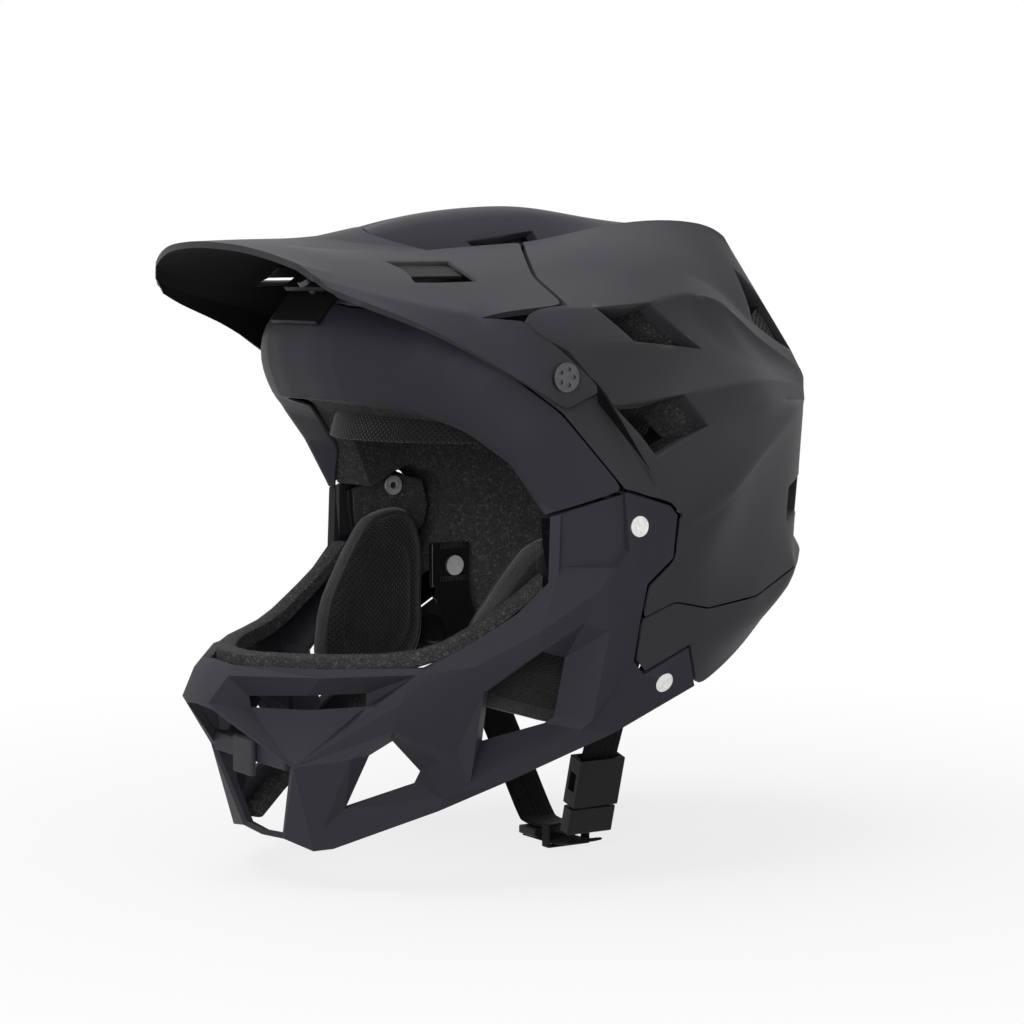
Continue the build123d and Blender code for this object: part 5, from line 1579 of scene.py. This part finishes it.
@dataclass
class ComfortPads(SubAssembly):
    """The thin pads that lie on the head cavity's wall.

    Attributes:
        thickness: A pad's thickness at its middle, in millimetres.
        hem: Thickness of its sewn hem.
        hem_width: Width of the hem.
        slope: How far in the pad reaches its full thickness.
        corner: How square a pad's corners are: 2 for an ellipse, more for a rectangle.
        brim, dome: Share of the thickness that a pad has all over, and that its middle adds.
        channel_depth, channel_width: Share of the thickness that a sewn channel takes, and its width.
        rows, columns: How finely a pad is cut.
        stitch: The stitches on the hem.
    """

    thickness: float = 7.2
    hem: float = 1.5
    hem_width: float = 2.2
    slope: float = 6.5
    corner: float = 3.2
    brim: float = 0.86
    dome: float = 0.14
    channel_depth: float = 0.45
    channel_width: float = 1.5
    rows: int = 20
    columns: int = 56
    stitch: Stitch = Stitch(3.1, 2.3, 0.55)

    def pads(self) -> list[ThinPad]:
        """All the thin pads of the helmet."""
        pads = [
            ThinPad("brow_pad_cloth", "brow_pad", Wall.ROUND, -56, 56, 13, 33, 1.7, (-0.62, -0.3, 0.3, 0.62)),
            ThinPad("nape_pad_cloth", "nape_pad", Wall.ROUND, 146, 214, -3, 16, 2.9, (-0.35, 0.35)),
        ]
        for side in (1, -1):
            ends = [(68, 100, 12, 41), (106, 140, 12, 38)]
            for place, (first, last, low, high) in zip(("front", "back"), ends):
                name = mirror_name(f"side_pad_{place}", side)
                pads.append(ThinPad(name, "side_pads", Wall.ROUND, first * side, last * side, low, high,
                                    1.7, (0.0,)))
        for place, middle in (("right", -34.0), ("middle", 0.0), ("left", 34.0)):
            pads.append(ThinPad(f"crown_pad_{place}", "crown_pads", Wall.OVER, 52, 120, middle - 13,
                                middle + 13, 4.4, (-0.33, 0.33)))
        return pads

    @staticmethod
    def spot(pad: ThinPad, across: float, along: float, height: float) -> Point:
        """A place in a pad.

        Args:
            pad: The pad.
            across: Share of its width, -1 to 1.
            along: Share of its length, -1 to 1.
            height: How far in from its back, in millimetres.

        Returns:
            The place, in millimetres.
        """
        depth = pad.clearance + height
        side = (pad.low + pad.high) / 2 + (pad.high - pad.low) / 2 * across
        turn = math.radians((pad.first + pad.last) / 2 + (pad.last - pad.first) / 2 * along)
        if pad.wall is Wall.OVER:
            flat = math.sqrt(1 - (side / HALF_BREADTH) ** 2)
            return (side * (1 - depth / HALF_BREADTH), -(HALF_LENGTH - depth) * flat * math.cos(turn),
                    CENTRE + (CROWN - depth) * flat * math.sin(turn))
        rise = math.radians(side)
        flat = math.cos(rise) if side > 0 else 1
        return ((HALF_BREADTH - depth) * flat * math.sin(turn),
                -(HALF_LENGTH - depth) * flat * math.cos(turn), CENTRE + (CROWN - depth) * math.sin(rise))

    def halves(self, pad: ThinPad) -> tuple[float, float]:
        """Half of a pad's width and length, in millimetres."""
        wide = (Vector(self.spot(pad, 1, 0, 0)) - Vector(self.spot(pad, -1, 0, 0))).length / 2
        steps = [Vector(self.spot(pad, 0, -1 + step / 8, 0)) for step in range(17)]
        long = sum((b - a).length for a, b in zip(steps, steps[1:])) / 2
        return wide, long

    def rounded(self, across: float, along: float, wide: float, long: float) -> tuple[float, float]:
        """A place of a rectangle, drawn in so that its corners are round."""
        reach = max(abs(across), abs(along))
        if not reach:
            return across, along
        a, b = abs(across / reach), abs(along / reach)
        power = self.corner * long / wide
        share = (a ** power + b ** power) ** (-1 / power) if a and b else 1.0
        return across * share, along * share

    def height(self, pad: ThinPad, across: float, along: float, wide: float, long: float) -> float:
        """How thick a pad is at a place of its rectangle."""
        inside = min((1 - abs(across)) * wide, (1 - abs(along)) * long)
        rise = smooth_step((inside - self.hem_width) / self.slope)
        crown = self.brim + self.dome * (1 - across * across) * (1 - along * along)
        for channel in pad.channels:
            away = (along - channel) * long / self.channel_width
            rise *= 1 - self.channel_depth * math.exp(-(away ** 2))
        return self.hem + (self.thickness - self.hem) * rise * crown

    def cloth(self, pad: ThinPad) -> bpy.types.Object:
        """Builds one pad as a closed, hemmed form."""
        wide, long = self.halves(pad)
        places: list[Point] = []
        flat: dict[int, tuple[float, float]] = {}
        sewn = []
        number: dict[tuple[int, int, int], int] = {}
        for layer in (0, 1):
            for row in range(self.rows + 1):
                for column in range(self.columns + 1):
                    across, along = 2 * row / self.rows - 1, 2 * column / self.columns - 1
                    border = abs(across) == 1 or abs(along) == 1
                    height = self.height(pad, across, along, wide, long) if layer else 0.0
                    a, b = self.rounded(across, along, wide, long)
                    number[layer, row, column] = len(places)
                    flat[len(places)] = (a * wide, b * long)
                    if not layer or border or height < self.hem * 1.3:
                        sewn.append(len(places))
                    places.append(self.spot(pad, a, b, height))
        faces = []
        for row in range(self.rows):
            for column in range(self.columns):
                corners = [(row, column), (row + 1, column), (row + 1, column + 1), (row, column + 1)]
                faces.append([number[(1, *corner)] for corner in corners])
                faces.append([number[(0, *corner)] for corner in reversed(corners)])
        ring = ([(0, c) for c in range(self.columns)] + [(r, self.columns) for r in range(self.rows)]
                + [(self.rows, c) for c in range(self.columns, 0, -1)]
                + [(r, 0) for r in range(self.rows, 0, -1)])
        for start, end in zip(ring, ring[1:] + ring[:1]):
            faces.append([number[(0, *start)], number[(0, *end)],
                          number[(1, *end)], number[(1, *start)]])
        piece = mesh_piece(pad.name, places, faces, flat)
        swollen(piece, sewn, 2.5, 1.2, 12)
        modify(piece, "SUBSURF", levels=1, render_levels=1)
        return piece

    def seam(self, pad: ThinPad, steps: int = 24) -> list[Point]:
        """The closed line of stitches on a pad's hem, in so many steps a side."""
        wide, long = self.halves(pad)
        inset = self.hem_width * 0.5
        line = []
        sides = [(-1, -1, 1, -1), (1, -1, 1, 1), (1, 1, -1, 1), (-1, 1, -1, -1)]
        for a0, b0, a1, b1 in sides:
            for step in range(steps):
                share = step / steps
                across, along = a0 + (a1 - a0) * share, b0 + (b1 - b0) * share
                a, b = self.rounded(across, along, wide, long)
                line.append(self.spot(pad, a * (1 - inset / wide), b * (1 - inset / long), self.hem))
        return line + line[:1]

    def build(self, stitches: RowTree) -> None:
        """Builds the thin pads and their stitches.

        Args:
            stitches: The tree that sews.
        """
        for pad in self.pads():
            piece = self.place(self.cloth(pad), Body.HELMET, Finishes.KNIT, [pad.node])
            row = self.stitch.sewn(stitches, f"{pad.name}_stitches", self.seam(pad))
            self.lay(row, Body.HELMET, "pad_fabric")


@dataclass
class CheekPads(SubAssembly):
    """The thick cheek pads, each with a gusset, a piped seam and a sewn middle.

    Attributes:
        outline: y and z of the pad's outline, in millimetres.
        levels: Rings from the back's edge to the middle: share of the way out, and of the thickness.
        seam_ring: Number of the ring that the gusset's seam is on.
        groove_ring: Number of the ring that the sewn channel is on.
        thickness: The pad's thickness, in millimetres.
        back, taper, reach: Where the pad's back is and how it bends forwards.
        piping: Diameter of the piping.
        stitch: The stitches of the sewn channel.
    """

    outline: Route = (
        (-46, -6), (-25, -3), (-16, -18), (-15.5, -45), (-17, -70), (-32, -88), (-55, -84),
        (-78, -75), (-79, -60), (-75, -45), (-66, -30), (-57, -17))
    levels: Route = (
        (0.97, 0.0), (0.99, 0.1), (1.0, 0.24), (0.995, 0.38), (0.975, 0.5), (0.945, 0.56),
        (0.925, 0.6), (0.89, 0.7), (0.83, 0.79), (0.76, 0.855), (0.69, 0.885), (0.655, 0.84),
        (0.62, 0.9), (0.53, 0.955), (0.4, 0.985), (0.26, 1.0), (0.12, 1.0))
    seam_ring: int = 5
    groove_ring: int = 11
    thickness: float = 19.0
    back: float = 85.0
    taper: float = 14.0
    reach: float = 80.0
    piping: float = 1.9
    stitch: Stitch = Stitch(3.2, 2.4, 0.6)

    def face(self, y: float) -> float:
        """How far out the pad's back is at a place along the head."""
        return self.back - self.taper * (y / self.reach) ** 2

    def rings(self, side: int) -> list[list[Point]]:
        """The pad's rings, from its back to its middle."""
        line = through([(0, y, z) for y, z in self.outline], 6, closed=True)
        middle = mean(line)
        rings = []
        for share, height in self.levels:
            ring = []
            for place in line:
                at = middle + (place - middle) * share
                ring.append((side * (self.face(at.y) - self.thickness * height), at.y, at.z))
            rings.append(ring)
        return rings

    def cloth(self, side: int) -> bpy.types.Object:
        """Builds one pad, its gusset in a lighter cloth."""
        rings = self.rings(side)
        count = len(rings[0])
        places: list[Point] = [place for ring in rings for place in ring]
        centre = [sum(place[axis] for place in rings[-1]) / count for axis in range(3)]
        places += [tuple(centre), (side * self.face(centre[1]), centre[1], centre[2])]
        faces = tube_faces(count, len(rings))
        last, tip = (len(rings) - 1) * count, len(rings) * count
        for corner in range(count):
            after = (corner + 1) % count
            faces.append([last + corner, last + after, tip])
            faces.append([after, corner, tip + 1])
        flat = {}
        run = 0.0
        for corner in range(count):
            if corner:
                run += (Vector(rings[2][corner]) - Vector(rings[2][corner - 1])).length
            for ring in range(self.seam_ring + 1):
                flat[ring * count + corner] = (run, self.levels[ring][1] * self.thickness)
        for index, place in enumerate(places):
            flat.setdefault(index, (place[1], place[2]))
        piece = mesh_piece(mirror_name("cheek_pad_cloth", side), places, faces, flat)
        sewn = list(range(2 * count)) + [self.seam_ring * count + c for c in range(count)]
        sewn += [self.groove_ring * count + c for c in range(count)] + [tip + 1]
        piece.data.materials.append(Finishes.KNIT.value.material())
        piece.data.materials.append(Finishes.GUSSET.value.material())
        for polygon in piece.data.polygons:
            if max(polygon.vertices) < (self.seam_ring + 1) * count:
                polygon.material_index = 1
        swollen(piece, sewn, 3.5, 2.0, 14)
        modify(piece, "SUBSURF", levels=1, render_levels=1)
        return piece

    def build(self, stitches: RowTree, wires: RowTree) -> None:
        """Builds both cheek pads with their piping and stitches.

        Args:
            stitches: The tree that sews.
            wires: The tree that makes round cords.
        """
        for side, node in ((1, "cheek_pad_left"), (-1, "cheek_pad_right")):
            piece = self.cloth(side)
            self.lay(piece, Body.HELMET, "pad_fabric", [node])
            rings = self.rings(side)
            seam, groove = rings[self.seam_ring], rings[self.groove_ring]
            for part in (
                    wires.grown(mirror_name("cheek_piping", side), [seam + seam[:1]], Finishes.THREAD,
                                diameter=self.piping),
                    self.stitch.sewn(stitches, mirror_name("cheek_stitches", side), groove + groove[:1])):
                self.lay(part, Body.HELMET, "pad_fabric")


@dataclass
class ChinStrap(SubAssembly):
    """The webbing, its buckle, slider and keeper, and what anchors it.

    Attributes:
        middle: y of the strap's middle line, in millimetres.
        width, thickness: The webbing's width and thickness.
        left, right, end: The three lengths of webbing, x and z of each.
        ribs: How many ribs run along the webbing.
        rib: How high a rib is.
        tack, tack_x, tack_levels: The stitches of the bar tacks, how far out they are, and each one's foot.
    """

    middle: float = 5.0
    width: float = 20.0
    thickness: float = 1.7
    left: Route = (
        (78.4, -22), (78.4, -32), (78.4, -42), (74.4, -55), (62.4, -84.5), (50.4, -114))
    right: Route = (
        (41.2, -145), (39.2, -148), (33.6, -149.3), (25, -149.3), (16, -149.3), (3.2, -149.3), (-3.2, -145.5),
        (-20, -125), (-45, -94), (-62, -71), (-74.4, -55), (-78.4, -42), (-78.4, -32), (-78.4, -22))
    end: Route = ((1.6, -155.8), (10.4, -155.8), (24, -155.8), (33.6, -155), (40, -153.5))
    ribs: int = 9
    rib: float = 0.07
    tack: Stitch = Stitch(1.6, 1.5, 0.5)
    tack_x: float = 77.45
    tack_levels: tuple[float, ...] = (-41, -24.5)
    plain: Moulding = Moulding(crease=30.0, levels=0, round_over=0.7, round_from=35.0, segments=3)
    metal: Moulding = Moulding(crease=30.0, levels=0, round_over=0.4, round_from=35.0)

    def tape(self, name: str, route: Sequence[tuple[float, float]]) -> bpy.types.Object:
        """Builds one length of webbing along its route."""
        line = through([(x, self.middle, z) for x, z in route], 8)
        across_steps = 4 * self.ribs
        half, thick = self.width / 2, self.thickness / 2
        section = []
        for index in range(across_steps + 1):
            share = 2 * index / across_steps - 1
            edge = (1 - abs(share) ** 8) ** 0.5
            rib = self.rib * math.cos(share * self.ribs * math.pi)
            section.append((share * half, (thick - self.rib + rib) * max(edge, 0.25)))
        outline = section + [(wide, -high) for wide, high in reversed(section)]
        places, flat = [], {}
        run = 0.0
        for step, place in enumerate(line):
            way = (line[min(step + 1, len(line) - 1)] - line[max(step - 1, 0)]).normalized()
            high = way.cross(Vector((0, 1, 0)))
            if step:
                run += (place - line[step - 1]).length
            for wide, up in outline:
                flat[len(places)] = (wide, run)
                places.append(tuple(place + Vector((0, wide, 0)) + high * up))
        count = len(outline)
        faces = tube_faces(count, len(line))
        faces.append(list(range(count)))
        faces.append([(len(line) - 1) * count + corner for corner in range(count)])
        return mesh_piece(name, places, faces, flat)

    def zigzag(self, x: float, low: float, high: float, turns: int) -> list[Point]:
        """A zigzag of stitches across the webbing where it hangs straight down."""
        rows = []
        for index in range(turns + 1):
            z = low + (high - low) * index / turns
            side = 1 if index % 2 else -1
            rows.append((x, self.middle + side * self.width * 0.36, z))
        return rows

    def build(self, stitches: RowTree) -> None:
        """Builds the strap.

        Args:
            stitches: The tree that sews.
        """
        for name, route in (("left", self.left), ("right", self.right), ("end", self.end)):
            self.place(self.tape(f"tape_{name}", route), Body.STRAP, Finishes.TAPE,
                       [f"strap_webbing_{name}"])
        for side in (1, -1):
            for level in self.tack_levels:
                line = self.zigzag(side * self.tack_x, level, level + 2.6, 9)
                row = self.tack.sewn(stitches, mirror_name(f"bar_tack_{abs(int(level))}", side), line,
                                     Finishes.TAPE_THREAD)
                self.lay(row, Body.STRAP, "webbing")
        for node, name, finish in (("buckle_socket", "buckle_socket_body", Finishes.BUCKLE),
                                   ("buckle_plug", "buckle_plug_body", Finishes.BUCKLE),
                                   ("strap_slider", "slider_body", Finishes.BUCKLE),
                                   ("strap_keeper", "keeper_loop", Finishes.RUBBER)):
            self.moulded(node, name, Body.STRAP, finish, self.plain)
        for node, name, finish in (("strap_anchor_plates", "anchor_plates", Finishes.SCREW),
                                   ("strap_anchor_rivets", "anchor_rivets", Finishes.WASHER),
                                   ("temple_washers", "temple_washer_rings", Finishes.WASHER),
                                   ("pad_snaps", "pad_snap_discs", Finishes.TRIM)):
            self.moulded(node, name, Body.HELMET, finish, self.metal)


# Studio


def aimed(name: str, data: bpy.types.ID, place: Vector, way: Vector) -> bpy.types.Object:
    """Puts a camera or a light in the scene, looking one way."""
    thing = bpy.data.objects.new(name, data)
    thing.location = place
    thing.rotation_mode = "QUATERNION"
    thing.rotation_quaternion = way.to_track_quat("-Z", "Y")
    bpy.context.scene.collection.objects.link(thing)
    return thing


def shown_rays(graph: Graph) -> bpy.types.NodeSocket:
    """1 for the rays of the camera, of reflections and of what is seen through, 0 for all others."""
    paths = graph.add("ShaderNodeLightPath").outputs
    shown = graph.math("MAXIMUM", paths["Is Camera Ray"], paths["Is Transmission Ray"])
    return graph.math("MAXIMUM", shown, paths["Is Glossy Ray"])


@dataclass
class Studio:
    """The floor, the lights, the world and the camera.

    Attributes:
        azimuth, elevation: Where the camera stands, in degrees, from the front towards the wearer's left.
        distance: How far it is from its target, in metres.
        target: What it looks at.
        lens: Its focal length for a 36 mm sensor, in millimetres.
        floor, reach: Height of the floor and half its width, in metres.
        ambient: Strength of the even light.
        glow: How much of the floor's own white shows under the helmet, 0 to 1.
        fade: Distances from the middle, in metres, between which the floor becomes all white.
        paper: How light the floor is where it isn't glowing.
        bounce: How light the floor is to the light that it throws back up.
        lamps: Each softbox's name, place, size and power.
    """

    azimuth: float = 57.0
    elevation: float = 5.0
    distance: float = 1.4
    target: Point = (0.0, -0.01, 0.0)
    lens: float = 103.36
    floor: float = -0.16
    reach: float = 6.0
    ambient: float = 0.12
    glow: float = 0.8
    fade: tuple[float, float] = (0.12, 0.62)
    paper: float = 0.9
    bounce: float = 0.35
    lamps: tuple[tuple[str, Point, float, float], ...] = (
        ("top_softbox", (-0.1, -0.5, 1.6), 1.1, 19.0),
        ("side_softbox", (1.4, -1.3, 0.3), 1.0, 14.0),
    )

    def camera(self) -> None:
        """Puts the camera where the photograph was taken from."""
        turn, rise = math.radians(self.azimuth), math.radians(self.elevation)
        back = Vector((math.sin(turn) * math.cos(rise), -math.cos(turn) * math.cos(rise), math.sin(rise)))
        data = bpy.data.cameras.new("photo_camera")
        data.lens, data.sensor_width = self.lens, 36.0
        place = Vector(self.target) + back * self.distance
        bpy.context.scene.camera = aimed("photo_camera", data, place, -back)

    def softbox(self, name: str, place: Point, size: float, power: float) -> None:
        """Hangs a square light that looks at the helmet."""
        data = bpy.data.lights.new(name, "AREA")
        data.shape, data.size, data.energy = "SQUARE", size, power
        aimed(name, data, Vector(place), Vector(self.target) - Vector(place))

    def world(self) -> None:
        """A white surround to the camera and in reflections, and an even soft light on the helmet."""
        world = bpy.data.worlds.new("studio_world")
        bpy.context.scene.world = world
        world.use_nodes = True
        graph = Graph(world.node_tree)
        world.node_tree.nodes.clear()
        shown = shown_rays(graph)
        soft = graph.add("ShaderNodeBackground", {"Color": (1, 1, 1, 1), "Strength": self.ambient}).outputs[0]
        white = graph.add("ShaderNodeBackground", {"Color": (1, 1, 1, 1), "Strength": 1.0}).outputs[0]
        seen = graph.add("ShaderNodeMixShader", {0: shown, 1: soft, 2: white}).outputs[0]
        graph.add("ShaderNodeOutputWorld", {0: seen})

    def ground(self) -> None:
        """A white floor that keeps the helmet's shadow and has no edge against the background."""
        mesh = bpy.data.meshes.new("studio_floor")
        corners = [(x * self.reach, y * self.reach, self.floor)
                   for x, y in ((-1, -1), (1, -1), (1, 1), (-1, 1))]
        mesh.from_pydata(corners, [], [(0, 1, 2, 3)])
        floor = new_piece("studio_floor", mesh)
        material = bpy.data.materials.new("pale_floor")
        material.use_nodes = True
        graph = Graph(material.node_tree)
        material.node_tree.nodes.clear()
        away = graph.add("ShaderNodeVectorMath", {0: graph.place()}, operation="LENGTH").outputs["Value"]
        shown = shown_rays(graph)
        greys = [(level, level, level, 1) for level in (self.bounce, self.paper)]
        tone = graph.add("ShaderNodeMix", {0: shown, 6: greys[0], 7: greys[1]}, data_type="RGBA").outputs[2]
        paper = graph.add("ShaderNodeBsdfDiffuse", {"Color": tone}).outputs[0]
        glow = graph.add("ShaderNodeEmission", {"Color": (1, 1, 1, 1), "Strength": 1.0}).outputs[0]
        share = graph.math("MULTIPLY", graph.ramp(away, *self.fade, self.glow, 1.0), shown)
        seen = graph.add("ShaderNodeMixShader", {0: share, 1: paper, 2: glow}).outputs[0]
        graph.add("ShaderNodeOutputMaterial", {0: seen})
        mesh.materials.append(material)
        floor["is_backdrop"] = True

    def build(self) -> None:
        """Builds the studio."""
        self.camera()
        self.world()
        self.ground()
        for name, place, size, power in self.lamps:
            self.softbox(name, place, size, power)
        bpy.context.scene.view_settings.view_transform = "Standard"
        log.info("studio ready")


def box_now() -> list[list[float]]:
    """The shown object's box as plain numbers."""
    bpy.context.view_layer.update()
    return [list(corner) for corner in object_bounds()]


def main() -> None:
    """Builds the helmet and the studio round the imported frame."""
    logging.basicConfig(level=logging.INFO, format="%(name)s: %(message)s")
    packed = box_now()
    Studio().build()
    stitches, wires = stitch_tree(), wire_tree()
    Shells().build()
    PeakVisor().build()
    ChinBar().build()
    VentGrilles().build(wires)
    ComfortPads().build(stitches)
    CheekPads().build(stitches, wires)
    ChinStrap().build(stitches)
    {"cad": packed, "visual": box_now()}


if __name__ == "__main__":
    main()
